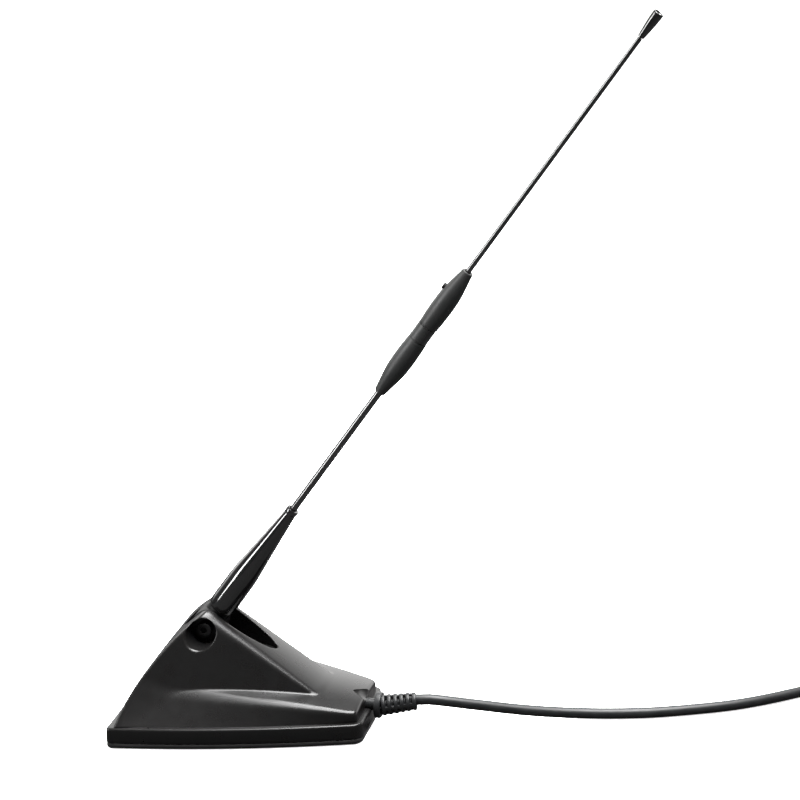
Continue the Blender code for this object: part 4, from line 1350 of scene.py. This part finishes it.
@dataclass
class Studio:
    """The pale floor, the soft lights and the camera."""

    camera_place: Place = (0.311414, -0.991741, 0.517515)
    camera_forward: Place = (-0.22498917, 0.9161989, -0.33160135)
    lens: float = 112.5
    dim: float = 0.12
    bright: float = 3.7

    @staticmethod
    def ramp(tree: Tree, value: Socket, start: Span,
             end: Span) -> Socket:
        """Maps a value smoothly from one range to another.

        Args:
            tree: The node tree.
            value: The value.
            start: Its own range.
            end: The range that it is mapped to.

        Returns:
            The mapped value.
        """
        node = add_node(tree, "MapRange", From_Min=start[0], From_Max=start[1], To_Min=end[0], To_Max=end[1])
        node.interpolation_type = "SMOOTHSTEP"
        tree.links.new(value, node.inputs["Value"])
        return node.outputs["Result"]

    @staticmethod
    def finish_tree(tree: Tree, output: str, lights: Socket,
                    shows: Socket) -> None:
        """Ends a node tree so that the camera sees one shader and all other rays meet another.

        Args:
            tree: The node tree.
            output: The output node's type, without its prefix.
            lights: The shader that other rays meet.
            shows: The shader that the camera sees.
        """
        path, mix, out = (add_node(tree, kind) for kind in ("LightPath", "MixShader", output))
        tree.links.new(path.outputs["Is Camera Ray"], mix.inputs["Fac"])
        tree.links.new(lights, mix.inputs[1])
        tree.links.new(shows, mix.inputs[2])
        tree.links.new(mix.outputs["Shader"], out.inputs["Surface"])

    def camera(self) -> None:
        """Sets the camera at the view of the product shot."""
        data = bpy.data.cameras.new("studio camera")
        data.lens = self.lens
        data.sensor_width = 36.0
        data.clip_start = 0.01
        obj = bpy.data.objects.new("studio camera", data)
        obj.location = self.camera_place
        obj.rotation_euler = Vector(self.camera_forward).to_track_quat("-Z", "Y").to_euler()
        bpy.context.collection.objects.link(obj)
        bpy.context.scene.camera = obj

    def light(self, name: str, place: Sequence[float], target: Sequence[float], size: Span,
              power: float) -> None:
        """Hangs one soft box.

        Args:
            name: The light's name.
            place: Where it hangs.
            target: What it points at.
            size: Its width and height.
            power: Its power in watts.
        """
        data = bpy.data.lights.new(name, "AREA")
        data.shape = "RECTANGLE"
        data.size, data.size_y = size
        data.energy = power
        obj = bpy.data.objects.new(name, data)
        obj.location = place
        obj.rotation_euler = (Vector(target) - Vector(place)).to_track_quat("-Z", "Y").to_euler()
        bpy.context.collection.objects.link(obj)

    def surroundings(self) -> None:
        """Makes the pale room: bright behind and above, dim on the near side."""
        world = bpy.data.worlds.new("studio")
        bpy.context.scene.world = world
        world.use_nodes = True
        tree = world.node_tree
        tree.nodes.clear()
        coords = add_node(tree, "TexCoord").outputs["Generated"]
        split = add_node(tree, "SeparateXYZ")
        tree.links.new(coords, split.inputs["Vector"])
        wall = self.ramp(tree, split.outputs["Y"], (0.0, 0.75), (0.0, 1.0))
        below_box = self.ramp(tree, split.outputs["Z"], (0.42, 0.70), (1.0, 0.0))
        both = add_node(tree, "Math")
        both.operation = "MULTIPLY"
        tree.links.new(wall, both.inputs[0])
        tree.links.new(below_box, both.inputs[1])
        behind = self.ramp(tree, both.outputs["Value"], (0.0, 1.0), (self.dim, self.bright))
        room = add_node(tree, "Background", Color=(1.0, 0.995, 0.985, 1))
        tree.links.new(behind, room.inputs["Strength"])
        paper = add_node(tree, "Background", Color=(1, 1, 1, 1), Strength=1.0)
        self.finish_tree(tree, "OutputWorld", room.outputs["Background"], paper.outputs["Background"])

    def floor(self) -> None:
        """Lays the pale floor."""
        Bench.clear()
        bpy.ops.mesh.primitive_plane_add(size=8.0, location=(0, 0, 0))
        obj = Bench.named("studio floor")
        material = bpy.data.materials.new("pale floor")
        material.use_nodes = True
        tree = material.node_tree
        tree.nodes.clear()
        paper = add_node(tree, "BsdfDiffuse", Color=(0.93, 0.93, 0.93, 1))
        glow = add_node(tree, "Emission", Strength=0.8)
        lit = add_node(tree, "AddShader")
        tree.links.new(paper.outputs["BSDF"], lit.inputs[0])
        tree.links.new(glow.outputs["Emission"], lit.inputs[1])
        dark = add_node(tree, "BsdfDiffuse", Color=(0.045, 0.045, 0.045, 1))
        self.finish_tree(tree, "OutputMaterial", dark.outputs["BSDF"], lit.outputs["Shader"])
        obj.data.materials.append(material)

    def build(self) -> None:
        """Sets up the studio."""
        self.camera()
        self.surroundings()
        self.floor()
        self.light("overhead box", (0.25, 0.10, 1.10), (0.05, 0.02, 0.03), (1.0, 0.5), 68.0)
        self.light("side box", (-0.80, -0.48, 0.46), (0.0, 0.0, 0.12), (0.20, 0.84), 15.0)
        bpy.context.scene.view_settings.view_transform = "Standard"


def main() -> None:
    """Builds the antenna around its frame and sets up the studio."""
    logging.basicConfig(level=logging.INFO, format="%(name)s: %(message)s")
    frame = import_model()
    Studio().build()
    plug = Plug().build()
    lead = Lead()
    cord = lead.build()
    Boot().build()
    Whip().build()
    Hinge().build()
    housing = Housing()
    housing.build()
    FootPad(housing).build()
    dress_hidden(frame["nodes"])
    Bench.clear()


if __name__ == "__main__":
    main()
